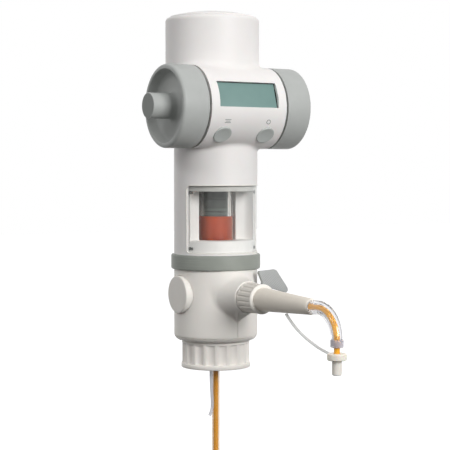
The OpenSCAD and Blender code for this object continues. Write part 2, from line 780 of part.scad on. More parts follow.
module head_cavity() {
    translate([0, 0, split_z - 1]) cylinder(r = neck_bore_r, h = window_z - split_z + 2);
    translate([0, 0, window_z]) cylinder(r = inner_r, h = drum_z - window_z);
    translate([0, -drum_front, drum_z])
        x_rod(drum_inner_r, -drum_half_w - 1, drum_half_w + 1);
    intersection() {
        translate([0, cap_back, cavity_floor_z])
            cylinder(r = cap_inner_r, h = cap_z - wall_t - cavity_floor_z);
        translate([-plate_x, -60, 0]) cube([2 * plate_x, 120, cap_z]);
    }
    translate([0, cap_back, cap_z - wall_t - 2]) cylinder(r = lid_r, h = wall_t + 4);
}

module head_shell() color(white) difference() {
    head_outer();
    head_cavity();
    window_outline(0);
    on_drum(display_angle)
        translate([-display_w / 2, -display_h / 2, display_board_radius + board_t])
            cube([display_w, display_h, drum_r]);
    for (side = [-1, 1]) on_drum(-button_angle)
        translate([side * button_x, 0, drum_r / 2]) cylinder(r = button_r + free_gap, h = drum_r);
}

module top_lid() color(white) translate([0, cap_back, 0]) difference() {
    edge_r = lid_r + 2;
    crown = dome_h - 0.8;
    big_r = (edge_r * edge_r + crown * crown) / (2 * crown);
    rotate_extrude() polygon(concat(
        [[0, cap_z - wall_t], [lid_r - 0.1, cap_z - wall_t], [lid_r - 0.1, cap_z],
            [edge_r, cap_z], [edge_r, cap_z + 0.5]],
        arc(0, cap_z + dome_h - big_r, big_r, acos((edge_r - 0.3) / big_r), 90, 10)));
    translate([0, 0, cap_z - wall_t - 1]) cylinder(r = lid_r - wall_t, h = wall_t + 1.4);
}

module end_plates() color(white) for (side = [-1, 1])
    translate([0, -drum_front, drum_z]) difference() {
        x_rod(drum_inner_r, side < 0 ? -drum_half_w : plate_x, side < 0 ? -plate_x : drum_half_w);
        x_rod(2 * shaft_r, -drum_half_w - 1, drum_half_w + 1);
    }

module shaft_bushes() color("peru") for (side = [-1, 1])
    translate([0, -drum_front, drum_z]) difference() {
        x_rod(2 * shaft_r, side < 0 ? -drum_half_w : plate_x - 1, side < 0 ? 1 - plate_x : drum_half_w);
        x_rod(shaft_r + run_gap, -drum_half_w - 1, drum_half_w + 1);
    }

// ---- Hand wheels ----

// Right wheel's section, as (radius, distance from the wheel's inner face)
module wheel() {
    rim = wheel_w;
    dish = wheel_w - dish_depth;
    dish_r = drum_r - rim_w;
    end = wheel_w + knob_proud;
    rotate([0, 90, 0]) rotate_extrude() polygon(concat(
        [[shaft_r, 0], [knob_r, 0], [knob_r, dish - 3], [dish_r - 4, dish - 3],
            [drum_r - 2.6, dish - 5], [drum_r - 2.6, 0], [drum_r, 0]],
        arc(drum_r - wheel_round, rim - wheel_round, wheel_round, 0, 90, 6),
        arc(dish_r, rim - 1, 1, 90, 180, 4),
        [[dish_r - 5, dish + 0.6], [knob_r + knob_flare + 1, dish]],
        arc(knob_r + knob_flare, dish + knob_flare, knob_flare, 270, 180, 6),
        arc(knob_r - 1, end - 1, 1, 0, 90, 4), [[0, end], [0, end - 12], [shaft_r, end - 12]]));
}

module on_wheel_axis(side)
    translate([side * wheel_x, -drum_front, drum_z]) rotate([0, 0, side < 0 ? 180 : 0])
        children();

module wheel_left() color(grey) on_wheel_axis(-1) wheel();

module wheel_right() color(grey) on_wheel_axis(1) wheel();

module wheel_shaft() color("silver") translate([0, -drum_front, drum_z])
    x_rod(shaft_r, -wheel_x - wheel_w - knob_proud + 12, wheel_x + wheel_w + knob_proud - 12);

module shaft_pinion() color("khaki") translate([0, -drum_front, drum_z]) difference() {
    side_plate(gear_x, gear_x + gear_w) rotate(mesh_angle)
        gear_outline(gear_module, pinion_teeth);
    x_rod(shaft_r, 0, drum_half_w);
}

module encoder_disc() color("black") translate([0, -drum_front, drum_z]) difference() {
    x_rod(encoder_r, -encoder_x, encoder_t - encoder_x);
    x_rod(shaft_r, -drum_half_w, 0);
    for (k = [0:encoder_slots - 1]) rotate([k * 360 / encoder_slots, 0, 0])
        translate([-encoder_x - 1, -slot_w / 2, slot_r]) cube([encoder_t + 2, slot_w, slot_depth]);
}

module encoder_sensor() color("darkgreen") translate([0, -drum_front, drum_z]) difference() {
    translate([-plate_x, -sensor_w / 2, encoder_r - 4.5])
        cube([plate_x - encoder_x + 4, sensor_w, 8.5]);
    translate([encoder_t / 2 - encoder_x - sensor_gap / 2, -sensor_w / 2 - 1, encoder_r - 6])
        cube([sensor_gap, sensor_w + 2, 7]);
}

// ---- Drive train ----

module gear_bracket() color("lightsteelblue") difference() {
    union() {
        translate([0, 0, barrel_top_z]) cylinder(r = inner_r - 0.1, h = bracket_t);
        for (side = [-1, 1]) pillar(side);
        translate([-pillar_x - pillar_t, 9 - guide_w, guide_z])
            cube([2 * (pillar_x + pillar_t), guide_w, guide_t]);
    }
    translate([0, 0, barrel_top_z - 1]) cylinder(r = bore_r + free_gap, h = bracket_t + 2);
    translate([0, 0, guide_z - 1]) cylinder(r = rod_r + run_gap, h = guide_t + 2);
    translate([0, gear_axis_y, gear_axis_z])
        x_rod(gear_shaft_r + run_gap, -pillar_x - 10, pillar_x + 10);
}

module pillar(side) side_plate(side < 0 ? -pillar_x - pillar_t : pillar_x,
    side < 0 ? -pillar_x : pillar_x + pillar_t)
    polygon([[gear_axis_y - 6.9, barrel_top_z + 1], [10, barrel_top_z + 1],
        [9, guide_z + guide_t], [9 - guide_w, guide_z + guide_t],
        [gear_axis_y - 4.9, guide_z - 2.1]]);

module gear_shaft() color("silver") translate([0, gear_axis_y, gear_axis_z])
    x_rod(gear_shaft_r, -pillar_x - pillar_t - 1, gear_x + gear_w + 1);

module reduction_gear() color("khaki") translate([0, gear_axis_y, gear_axis_z]) difference() {
    side_plate(gear_x, gear_x + gear_w) rotate(mesh_angle + 180 + 180 / gear_teeth)
        gear_outline(gear_module, gear_teeth);
    x_rod(gear_shaft_r, 0, drum_half_w);
    for (k = [0:4]) rotate([72 * k, 0, 0]) translate([0, gear_pitch_r * 0.56, 0])
        x_rod(gear_pitch_r / 5, 0, drum_half_w);
}

module rack_pinion() color("khaki") translate([0, gear_axis_y, gear_axis_z]) difference() {
    side_plate(-rod_r, rod_r) gear_outline(rack_module, rack_pinion_teeth);
    x_rod(gear_shaft_r, -drum_half_w, drum_half_w);
}

// ---- Electronics ----

module display_board() color("darkgreen") on_drum(display_angle)
    translate([-plate_x, -display_h / 2 - 2, display_board_radius])
        cube([2 * plate_x, display_h + 4, board_t]);

module lcd_panel() color("cadetblue") on_drum(display_angle)
    translate([-display_w / 2 + 0.2, -display_h / 2 + 0.2, display_board_radius + board_t])
        cube([display_w - 0.4, display_h - 0.4, lcd_t]);

module key_board() color("darkgreen") on_drum(-button_angle)
    translate([-plate_x, -key_board_h / 2, key_board_radius])
        cube([2 * plate_x, key_board_h, board_t]);

module key_switches() color("black") for (side = [-1, 1])
    on_drum(-button_angle) translate([side * button_x, 0, key_board_radius + board_t]) {
        translate([-switch_w / 2, -switch_w / 2, 0]) cube([switch_w, switch_w, switch_t]);
        cylinder(r = switch_r, h = switch_h);
    }

module button(side) color(grey) on_drum(-button_angle) translate([side * button_x, 0, 0]) {
    translate([0, 0, button_flange_radius])
        cylinder(r = button_r + 1.2, h = button_flange_t);
    rotate_extrude() polygon(concat([[0, button_flange_radius + 0.5],
        [button_r, button_flange_radius + 0.5]],
        arc(button_r - 0.6, button_face_radius - 1, 0.6, 0, 70, 4),
        [[button_r / 2, button_face_radius - 0.15], [0, button_face_radius]]));
}

module mode_button() button(-1);

module clear_button() button(1);

// Back plate that follows the cap's wall, with a shelf under and over the batteries
module battery_holder() color("black") intersection() {
    full_h = battery_len + 2 * shelf_t;
    translate([0, cap_back, battery_z - shelf_t]) cylinder(r = cap_inner_r, h = full_h);
    union() {
        difference() {
            translate([-holder_w / 2, battery_y, battery_z - shelf_t])
                cube([holder_w, cap_r, full_h]);
            translate([0, cap_back, battery_z - shelf_t - 1])
                cylinder(r = cap_inner_r - holder_t, h = full_h + 2);
        }
        for (z = [battery_z - shelf_t, battery_z + battery_len])
            translate([-battery_x - battery_r, battery_y - battery_r, z])
                cube([2 * (battery_x + battery_r), cap_r, shelf_t]);
    }
}

module batteries() color("goldenrod") for (side = [-1, 1])
    translate([side * battery_x, battery_y, battery_z]) {
        cylinder(r = battery_r, h = battery_len - 1);
        cylinder(r = battery_r / 3, h = battery_len);
    }

// ---- Outlet, nozzle and tip ----

module outlet_nut() color(white) translate([0, 0, outlet_z]) difference() {
    front_turned([[0, nut_y], [nut_r - 0.6, nut_y], [nut_r, nut_y + 0.6],
        [nut_front_r, nut_y + nut_len - 0.4], [nut_front_r - 0.4, nut_y + nut_len],
        [0, nut_y + nut_len]]);
    front_rod(stem_r + run_gap, stem_r + run_gap, 0, nut_y + nut_len + 1);
    for (k = [0:nut_ribs - 1]) rotate([0, k * 360 / nut_ribs, 0])
        translate([0, -nut_y - 1.5, nut_r - nut_groove]) rotate([nut_taper, 0, 0])
            translate([-nut_groove_w / 2, -nut_len + 3.5, 0])
                cube([nut_groove_w, nut_len - 3.5, 3]);
}

module nozzle_collar() color(white) translate([0, 0, outlet_z]) difference() {
    front_turned([[0, collar_y], [nut_front_r + 0.3, collar_y],
        [nut_front_r + 0.6, collar_y + 0.5], [nut_front_r - 0.2, sleeve_y], [0, sleeve_y]]);
    front_rod(stem_r, stem_r, 0, sleeve_y + 1);
}

module nozzle_sleeve() color(white) translate([0, 0, outlet_z]) difference() {
    front_turned([[0, sleeve_y], [sleeve_r, sleeve_y], [sleeve_end_r + 0.4, sleeve_end_y - 0.8],
        [sleeve_end_r, sleeve_end_y], [0, sleeve_end_y]]);
    front_rod(tube_r, tube_r, 0, sleeve_end_y + 1);
    front_rod(sleeve_r - sleeve_wall, sleeve_end_r - sleeve_wall / 2, sleeve_y + 4,
        sleeve_end_y - elbow_inset - 4);
    front_rod(elbow_spigot_r, elbow_spigot_r, sleeve_end_y - elbow_inset, sleeve_end_y + 1);
}

// Elbow's centre line: out of the sleeve, a quarter bend, straight down
ELBOW = concat([[0, -sleeve_end_y, outlet_z]],
    [for (a = [0:9:90]) [0, -bend_y - elbow_bend_r * sin(a), elbow_end_z + elbow_bend_r * cos(a)]],
    [[0, -nozzle_reach, fitting_z + fitting_floor]]);

module nozzle_elbow() color("lightcyan", 0.4) {
    last = len(ELBOW) - 1;
    difference() {
        union() {
            swept(ELBOW, [for (i = [0:last])
                elbow_r + (elbow_tip_r - elbow_r) * min(1, i / (last - 1))], [1, 0, 0], 24);
            translate([0, 0, outlet_z])
                front_rod(elbow_spigot_r, elbow_spigot_r, sleeve_end_y - elbow_inset, sleeve_end_y);
        }
        swept(concat([ELBOW[0] + [0, elbow_inset + 1, 0]], [for (i = [1:last - 1]) ELBOW[i]],
            [ELBOW[last] - [0, 0, 1]]), [for (p = ELBOW) tube_r + elbow_play], [1, 0, 0], 24);
    }
}

module dispensing_tube() color("orange") {
    translate([0, 0, outlet_z]) front_rod(tube_r, tube_r, discharge_y + chamber_h + 4, bend_y);
    translate([0, -bend_y, elbow_end_z]) rotate([90, 0, -90])
        rotate_extrude(angle = 90) translate([elbow_bend_r, 0]) circle(tube_r);
    translate([0, -nozzle_reach, tip_z]) cylinder(r = tube_r, h = elbow_end_z - tip_z);
}

module tip_fitting() color(white) translate([0, -nozzle_reach, fitting_z]) difference() {
    rotate_extrude() polygon([[tube_r, 0], [fitting_r - 0.5, 0], [fitting_r, 0.5],
        [fitting_r, fitting_h - 0.4], [fitting_r - 0.4, fitting_h], [tube_r, fitting_h]]);
    translate([0, 0, fitting_floor]) cylinder(r = elbow_tip_r + 0.2, h = fitting_h);
}

module tip_cap() color(white) translate([0, -nozzle_reach, flange_z]) difference() {
    rotate_extrude() polygon(concat([[0, 0]], [[flange_r - 0.5, 0], [flange_r, -0.5],
        [flange_r, 0.5 - flange_t], [flange_r - 0.5, -flange_t], [tip_cap_r, -flange_t]],
        arc(tip_cap_r - 0.8, 0.8 - flange_t - tip_cap_len, 0.8, 0, -90, 4),
        [[0, -flange_t - tip_cap_len]]));
    translate([0, 0, -tip_len + cap_gap - 0.5]) cylinder(r = tube_r + piston_gap, h = tip_len);
}

module cap_strap() color(white)
    swept([for (p = STRAP) [0, -nozzle_reach - p[0], flange_z - flange_t + p[1]]],
        [for (p = STRAP) strap_w / 2], [1, 0, 0], 8, strap_flat);

// ---- Lever ----

module valve_lever() color(grey) translate([lever_x, 0, outlet_z + lever_rise]) {
    front_rod(hub_r, hub_r, lever_front - lever_t - 2, lever_front);
    translate([0, -lever_front + lever_t, 0]) rotate([90, 0, 0]) linear_extrude(lever_t)
        polygon([[-hub_r + 1, 0], [0, 1 - hub_r], [hub_r - 0.6, 0], [3.6, 6.4], [7, 5],
            [20.2, 1.6], [21.4, 2.2], [21.9, 4.4], [21.3, 6], [11, 17.2], [8.8, 18.4],
            [-4.2, 17.4], [-5.2, 15.8], [-1.6, 8.6]]);
}

module lever_spindle() color("white") translate([lever_x, 0, outlet_z + lever_rise])
    front_rod(spindle_r, spindle_r, 13, lever_front - lever_t - 2);

// ---- Tubes into the bottle ----

module filling_tube() color("orange")
    ring(fill_r - fill_wall, fill_r, -fill_reach, mouth_z + fill_socket);

module return_tube() color("white") {
    path = [for (p = RETURN) [return_x + p[0], return_y, mouth_z + p[1]]];
    swept(path, [for (p = RETURN) return_r], [0, 1, 0], 8);
}

collar();
collar_retainer();
bottle_seal();
base_plate();
valve_housing();
valve_block();
suction_ball();
discharge_ball();
outlet_stem();
vent_plug();
lock_ring();
barrel_seal();
glass_barrel();
barrel_carrier();
window_cover();
cover_clips();
piston_head();
piston_lips();
piston_rod();
head_shell();
top_lid();
end_plates();
shaft_bushes();
wheel_left();
wheel_right();
wheel_shaft();
shaft_pinion();
encoder_disc();
encoder_sensor();
gear_bracket();
gear_shaft();
reduction_gear();
rack_pinion();
display_board();
lcd_panel();
key_board();
key_switches();
mode_button();
clear_button();
battery_holder();
batteries();
outlet_nut();
nozzle_collar();
nozzle_sleeve();
nozzle_elbow();
dispensing_tube();
tip_fitting();
tip_cap();
cap_strap();
valve_lever();
lever_spindle();
filling_tube();
return_tube();
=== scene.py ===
"""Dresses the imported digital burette: camera, studio, materials and detailed pieces.

Lengths in this file are millimetres in the CAD's own frame (+Z up the column, -Y to the
front) and are turned into metres where a mesh is made.
"""

import logging
import math
from dataclasses import dataclass
from enum import Enum
from typing import Callable, Sequence

import bmesh
import bpy
import numpy as np
from mathutils import Matrix, Vector


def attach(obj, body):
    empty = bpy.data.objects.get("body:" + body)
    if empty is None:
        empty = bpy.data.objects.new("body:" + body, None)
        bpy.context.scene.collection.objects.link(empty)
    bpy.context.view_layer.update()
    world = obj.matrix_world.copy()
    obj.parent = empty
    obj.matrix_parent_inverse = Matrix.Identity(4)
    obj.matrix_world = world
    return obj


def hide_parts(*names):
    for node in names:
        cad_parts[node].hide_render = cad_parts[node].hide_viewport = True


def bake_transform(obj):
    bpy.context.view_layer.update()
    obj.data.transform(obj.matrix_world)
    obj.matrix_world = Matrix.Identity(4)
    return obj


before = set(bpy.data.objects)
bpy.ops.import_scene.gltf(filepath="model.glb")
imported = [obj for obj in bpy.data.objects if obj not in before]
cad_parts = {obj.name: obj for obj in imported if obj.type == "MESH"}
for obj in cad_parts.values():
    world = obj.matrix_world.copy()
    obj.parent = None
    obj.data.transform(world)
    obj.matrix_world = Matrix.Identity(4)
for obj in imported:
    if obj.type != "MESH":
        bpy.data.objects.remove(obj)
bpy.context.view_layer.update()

LOG = logging.getLogger("burette")
MM = 0.001
TAU = 2 * math.pi
SHARP = 38.0  # degrees: edges that bend more stay sharp
PAST = 60.0  # millimetres: beyond every wall, for cutters
BUMP_DEPTH = 0.0003  # metres of relief at full height
KNURL_SCALE = 260.0  # waves of the lever's knurling
COAT_ROUGH = 0.06
SCATTER_DEPTH = 0.002  # metres that light travels under a surface
SHEEN_TINT = "f0a868"  # the glow at the liquid's edges
Point2 = tuple[float, float]
Point3 = tuple[float, float, float]


class Body(str, Enum):
    """The CAD bodies that pieces ride on."""

    HEAD = "head"
    COLLAR = "collar"
    RING = "lock_ring"
    PLUG = "vent_plug"
    LEVER = "valve_lever"
    NUT = "outlet_nut"
    TIP_CAP = "tip_cap"
    LID = "top_lid"
    MODE = "mode_button"
    CLEAR = "clear_button"
    WHEELS = "hand_wheels"
    PISTON = "piston"


class Grain(Enum):
    """Surface relief of a finish."""

    MOULDED = "moulded"
    TURNED = "turned"
    KNURLED = "knurled"
    SMOOTH = "smooth"


class Axis(Enum):
    """Where a turned profile's height runs."""

    UP = 0
    RIGHT = 1
    LEFT = 2
    FRONT = 3


@dataclass(frozen=True)
class Dims:
    """The CAD's main measures in millimetres, repeated from its source."""

    collar_r: float = 26.5
    collar_h: float = 21.2
    bore_r: float = 22.75
    roof_z: float = 17.6
    spigot_r: float = 16.0
    base_z: float = 21.5
    housing_z: float = 24.7
    ring_z: float = 77.0
    split_z: float = 82.8
    column_z: float = 88.6
    window_z: float = 90.5
    window_h: float = 51.5
    window_half: float = 74.0
    column_r: float = 32.6
    wall: float = 2.4
    outlet_z: float = 58.0
    drum_y: float = -18.6
    drum_z: float = 201.9
    drum_r: float = 31.5
    drum_half: float = 33.0
    display_angle: float = 17.0
    button_angle: float = 43.0
    button_r: float = 7.4
    cap_y: float = 5.2
    cap_r: float = 36.6
    cap_z: float = 272.4
    barrel_z: float = 89.0
    barrel_top: float = 166.0
    piston_z: float = 118.0
    nozzle_y: float = 161.0
    bend_r: float = 21.5
    sleeve_end: float = 131.3
    fitting_z: float = 32.7
    flange_z: float = 28.5
    tip_z: float = 18.7
    lever_x: float = 21.5
    lever_z: float = 59.5

    @property
    def inner_r(self) -> float:
        """Radius of the column's inside."""
        return self.column_r - self.wall


D = Dims()


# ---------------------------------------------------------------- finishes


def srgb(code: str) -> tuple[float, float, float, float]:
    """Turns a web colour into linear RGBA.

    Args:
        code: six hexadecimal digits.
    Returns:
        The linear colour with full alpha.
    """
    values = [int(code[i : i + 2], 16) / 255 for i in (0, 2, 4)]
    lin = [v / 12.92 if v <= 0.04045 else ((v + 0.055) / 1.055) ** 2.4 for v in values]
    return (lin[0], lin[1], lin[2], 1.0)


@dataclass(frozen=True)
class Finish:
    """One procedural finish.

    colour and tint are the two shades that a soft noise mixes, patch is the size of that
    mottling in millimetres, rough and rough_span give the roughness and how much it varies.
    """

    name: str
    colour: str
    tint: str
    rough: float = 0.4
    rough_span: float = 0.08
    patch: float = 9.0
    grain: Grain = Grain.MOULDED
    grain_mm: float = 0.35
    relief: float = 0.05
    metallic: float = 0.0
    alpha: float = 1.0
    edge_alpha: float = 1.0
    transmission: float = 0.0
    ior: float = 1.34
    coat: float = 0.0
    subsurface: float = 0.0
    sheen: float = 0.0


WHITE = Finish("moulded_white", "ebe8e6", "e5e2e0", 0.46, 0.08, 14, relief=0.03, subsurface=0.04)
HOUSING = Finish("housing_white", "ebe7e1", "e5e1db", 0.46, 0.08, 12, relief=0.04, subsurface=0.03)
COLLAR = Finish("collar_white", "f3efe9", "ece7e1", 0.46, 0.1, 6, relief=0.06, subsurface=0.03)
CARRIER = Finish("carrier_white", "f1f0ed", "e8e6e2", 0.5, 0.06, 10, relief=0.03)
# painted shade: the top bar's grey is a darker copy of the carrier's white, for the shade under the
# window's top edge
SHADED_BAR = Finish("carrier_bar", "c9c8c3", "c0bfba", 0.45, 0.06, 10, relief=0.03)
NUT = Finish("nut_beige", "e3ded7", "d9d4cc", 0.46, 0.1, 4, relief=0.05)
SLEEVE = Finish("sleeve_beige", "e6dfd4", "dfd7cb", 0.44, 0.1, 7, relief=0.06)
CREAM = Finish("seal_cream", "f3f0ea", "e8e4dc", 0.35, 0.06, 5, relief=0.02)
GREY = Finish("wheel_grey", "b2b4b2", "aaadaa", 0.42, 0.1, 8, relief=0.06)
# painted shade: a darker copy of the wheel grey for the knob's flat end, which faces away from the
# light
GREY_SHADE = Finish("knob_face_painted_shade", "8c8f8c", "838683", 0.55, 0.08, 5, relief=0.08)
RING = Finish("ring_grey", "969a93", "8c9089", 0.42, 0.1, 8, Grain.TURNED, 1.0, 0.8)
BUTTON = Finish("button_grey", "bcc0bd", "b3b7b4", 0.5, 0.08, 3, relief=0.08)
LEVER = Finish("lever_grey", "b6b8b7", "abadac", 0.45, 0.1, 4, grain=Grain.KNURLED, relief=1.0)
RUBBER = Finish("seal_black", "2a2b2a", "222322", 0.7, 0.1, 3, relief=0.1)
CLIP = Finish("clip_dark", "4b4f49", "3d413c", 0.5, 0.1, 2, relief=0.1)
PISTON = Finish("piston_dark", "3d4441", "353c39", 0.38, 0.12, 3, Grain.TURNED, 0.25, 0.12)
LIP = Finish("lip_grey", "626b68", "59625f", 0.4, 0.1, 2, Grain.TURNED, 0.2, 0.1)
ROD = Finish("rod_white", "d5d6d2", "c9cac6", 0.45, 0.1, 4, relief=0.06)
PTFE = Finish("valve_white", "ececea", "e2e2df", 0.35, 0.08, 6, Grain.TURNED, 0.3, 0.06)
CERAMIC = Finish("ball_ceramic", "d9d6d0", "cfccc6", 0.12, 0.05, 1.5, Grain.SMOOTH)
STEEL = Finish("shaft_steel", "b8babb", "a9abac", 0.28, 0.12, 3, Grain.TURNED, 0.2, 0.1, 1.0)
BRONZE = Finish("bush_bronze", "b08558", "9c734a", 0.4, 0.12, 1.5, Grain.TURNED, 0.2, 0.1, 0.9)
ACETAL = Finish("gear_acetal", "dcd3b4", "d2c8a6", 0.42, 0.08, 3, relief=0.06)
FRAME = Finish("frame_blue_grey", "a3aebc", "98a3b1", 0.5, 0.1, 5, relief=0.1)
BOARD = Finish("board_green", "1f5a3c", "17492f", 0.35, 0.1, 1.2, relief=0.12)
BLACK = Finish("switch_black", "202121", "181919", 0.45, 0.1, 1.5, relief=0.08)
CELL = Finish("battery_wrap", "b59b4a", "a58b3d", 0.3, 0.08, 3, relief=0.02, metallic=0.5)
LCD = Finish("lcd_film", "76938e", "6d8a86", 0.5, 0.05, 9, Grain.SMOOTH)
GLASS = Finish("barrel_glass", "fbfaf7", "f5f4f0", 0.03, 0.02, 9, Grain.SMOOTH,
               transmission=1.0, ior=1.47)
COVER = Finish("cover_clear", "f4f7f6", "eef2f1", 0.06, 0.03, 12, Grain.SMOOTH, alpha=0.012,
               edge_alpha=0.35, coat=0.15)
ELBOW = Finish("elbow_clear", "fafafc", "f3f2f6", 0.04, 0.03, 4, Grain.SMOOTH,
               transmission=1.0, ior=1.45)
FOGGED = Finish("cap_fogged", "faf4e8", "f1eadd", 0.38, 0.1, 3, relief=0.05, alpha=0.78,
                edge_alpha=1.0, subsurface=0.1)
FITTING = Finish("fitting_lilac", "d5d1da", "c4c0ca", 0.25, 0.08, 3, relief=0.04, alpha=0.42,
                 edge_alpha=0.9)
STRAP = Finish("strap_pale", "fafaf8", "f2f2ef", 0.35, 0.08, 5, relief=0.03, alpha=0.55,
               edge_alpha=0.95)
TIP = Finish("tip_beige", "e9e5dd", "dfdad1", 0.42, 0.1, 3, relief=0.05, subsurface=0.05)
AMBER = Finish("liquid_amber", "f0b02e", "e49c18", 0.2, 0.06, 2.5, Grain.SMOOTH, coat=0.2)
TUBE_SKIN = Finish("tube_skin", "fac766", "f4bd56", 0.1, 0.05, 4, Grain.SMOOTH, alpha=0.2,
                   edge_alpha=0.85)
RETURN = Finish("tube_clear", "d9d8de", "cfced6", 0.2, 0.08, 3, Grain.SMOOTH, alpha=0.6,
                edge_alpha=0.95)
LIQUID = Finish("liquid_red", "b23408", "c24c10", 0.35, 0.05, 6, Grain.SMOOTH, sheen=1.0)
MARK = Finish("mark_grey", "7d8180", "747877", 0.5, 0.05, 1)


def set_inputs(node: bpy.types.Node, values: dict) -> None:
    """Sets the values of a node's inputs, named or numbered."""
    for key, value in values.items():
        node.inputs[key].default_value = value


def add_node(tree: bpy.types.NodeTree, kind: str, values: dict | None = None,
             **settings: object) -> bpy.types.Node:
    """Adds a node with its settings and, after them, its inputs' values."""
    node = tree.nodes.new(kind)
    for key, value in settings.items():
        setattr(node, key, value)
    set_inputs(node, values or {})
    return node


def wire(tree: bpy.types.NodeTree, *links: tuple) -> None:
    """Joins sockets, each row being a node, its output, the next node and its input."""
    for source, output, target, entry in links:
        tree.links.new(source.outputs[output], target.inputs[entry])


class Shader:
    """Makes materials from finishes, with node groups that they share."""

    def __init__(self) -> None:
        self._made: dict[str, bpy.types.Material] = {}
        self._mottle = self._mottle_group()
        self._relief = {g: self._relief_group(g) for g in Grain if g is not Grain.SMOOTH}

    @staticmethod
    def _group(name: str, inputs: Sequence[tuple[str, str, object]],
               outputs: Sequence[tuple[str, str]]) -> tuple:
        """Creates a node group with its sockets.

        Args:
            name: the group's name.
            inputs: name, socket type and default of each input.
            outputs: name and socket type of each output.
        Returns:
            The tree, its input node and its output node.
        """
        tree = bpy.data.node_groups.new(name, "ShaderNodeTree")
        for label, kind, default in inputs:
            socket = tree.interface.new_socket(name=label, in_out="INPUT", socket_type=kind)
            if default is not None:
                socket.default_value = default
        for label, kind in outputs:
            tree.interface.new_socket(name=label, in_out="OUTPUT", socket_type=kind)
        return tree, tree.nodes.new("NodeGroupInput"), tree.nodes.new("NodeGroupOutput")

    def _mottle_group(self) -> bpy.types.NodeTree:
        """A soft two-tone mottling for colour, and its noise for roughness."""
        tree, into, out = self._group(
            "Mottle",
            [("Scale", "NodeSocketFloat", 100.0), ("Colour A", "NodeSocketColor", None),
             ("Colour B", "NodeSocketColor", None), ("Rough", "NodeSocketFloat", 0.4),
             ("Span", "NodeSocketFloat", 0.1)],
            [("Colour", "NodeSocketColor"), ("Roughness", "NodeSocketFloat")])
        coords = add_node(tree, "ShaderNodeTexCoord")
        big = add_node(tree, "ShaderNodeTexNoise", {"Detail": 3})
        fine = add_node(tree, "ShaderNodeTexNoise", {"Detail": 2})
        times = add_node(tree, "ShaderNodeMath", {1: 6.0}, operation="MULTIPLY")
        mix = add_node(tree, "ShaderNodeMix", data_type="RGBA")
        span = add_node(tree, "ShaderNodeMath", operation="MULTIPLY_ADD")
        centred = add_node(tree, "ShaderNodeMath", {1: 0.5}, operation="SUBTRACT")
        wire(tree, (coords, "Object", big, "Vector"), (coords, "Object", fine, "Vector"),
             (into, "Scale", big, "Scale"), (into, "Scale", times, 0),
             (times, 0, fine, "Scale"), (big, "Fac", mix, "Factor"),
             (into, "Colour A", mix, 6), (into, "Colour B", mix, 7),
             (fine, "Fac", centred, 0), (centred, 0, span, 0), (into, "Span", span, 1),
             (into, "Rough", span, 2), (mix, 2, out, "Colour"), (span, 0, out, "Roughness"))
        return tree

    def _relief_group(self, grain: Grain) -> bpy.types.NodeTree:
        """Bump for one kind of grain, from Object coordinates."""
        tree, into, out = self._group(
            f"Relief_{grain.value}",
            [("Scale", "NodeSocketFloat", 2000.0), ("Strength", "NodeSocketFloat", 0.05)],
            [("Normal", "NodeSocketVector")])
        coords = add_node(tree, "ShaderNodeTexCoord")
        bump = add_node(tree, "ShaderNodeBump", {"Distance": BUMP_DEPTH})
        if grain is Grain.KNURLED:
            height = self._knurl(tree, coords, into)
        else:
            noise = add_node(tree, "ShaderNodeTexNoise", {"Detail": 4})
            source = coords.outputs["Object"]
            if grain is Grain.TURNED:
                stretch = add_node(tree, "ShaderNodeMapping", {"Scale": (0.05, 0.05, 1.0)})
                wire(tree, (coords, "Object", stretch, "Vector"))
                source = stretch.outputs["Vector"]
            tree.links.new(source, noise.inputs["Vector"])
            wire(tree, (into, "Scale", noise, "Scale"))
            height = noise.outputs["Fac"]
        tree.links.new(height, bump.inputs["Height"])
        wire(tree, (into, "Strength", bump, "Strength"), (bump, "Normal", out, "Normal"))
        return tree

    @staticmethod
    def _knurl(tree: bpy.types.NodeTree, coords: bpy.types.Node,
               into: bpy.types.Node) -> bpy.types.NodeSocket:
        """Two crossed wave sets in the XZ plane."""
        both = add_node(tree, "ShaderNodeMath", operation="MULTIPLY")
        for k, angle in enumerate((38, -52)):
            turn = add_node(tree, "ShaderNodeMapping",
                            {"Rotation": (0, math.radians(angle), 0)})
            wave = add_node(tree, "ShaderNodeTexWave", wave_type="BANDS", bands_direction="X")
            wire(tree, (coords, "Object", turn, "Vector"), (turn, "Vector", wave, "Vector"),
                 (into, "Scale", wave, "Scale"), (wave, "Fac", both, k))
        return both.outputs[0]

    def of(self, finish: Finish) -> bpy.types.Material:
        """Returns the material of a finish, made once.

        Args:
            finish: the finish to make.
        Returns:
            The material.
        """
        if finish.name in self._made:
            return self._made[finish.name]
        mat = bpy.data.materials.new(finish.name)
        mat.use_nodes = True
        tree = mat.node_tree
        shader = tree.nodes["Principled BSDF"]
        mottle = add_node(tree, "ShaderNodeGroup", {
            "Scale": 1000 / finish.patch, "Colour A": srgb(finish.colour),
            "Colour B": srgb(finish.tint), "Rough": finish.rough, "Span": finish.rough_span,
        }, node_tree=self._mottle)
        wire(tree, (mottle, "Colour", shader, "Base Color"),
             (mottle, "Roughness", shader, "Roughness"))
        if finish.grain is not Grain.SMOOTH:
            scale = KNURL_SCALE if finish.grain is Grain.KNURLED else 1000 / finish.grain_mm
            relief = add_node(tree, "ShaderNodeGroup",
                              {"Scale": scale, "Strength": finish.relief},
                              node_tree=self._relief[finish.grain])
            wire(tree, (relief, "Normal", shader, "Normal"))
        set_inputs(shader, {
            "Metallic": finish.metallic, "IOR": finish.ior, "Coat Weight": finish.coat,
            "Coat Roughness": COAT_ROUGH, "Transmission Weight": finish.transmission,
            "Subsurface Weight": finish.subsurface, "Subsurface Scale": SCATTER_DEPTH})
        if finish.sheen:
            set_inputs(shader, {"Sheen Weight": finish.sheen, "Sheen Roughness": 0.5,
                                "Sheen Tint": srgb(SHEEN_TINT)})
        if finish.alpha < 1:
            self._edge_alpha(tree, shader, finish)
        self._made[finish.name] = mat
        return mat

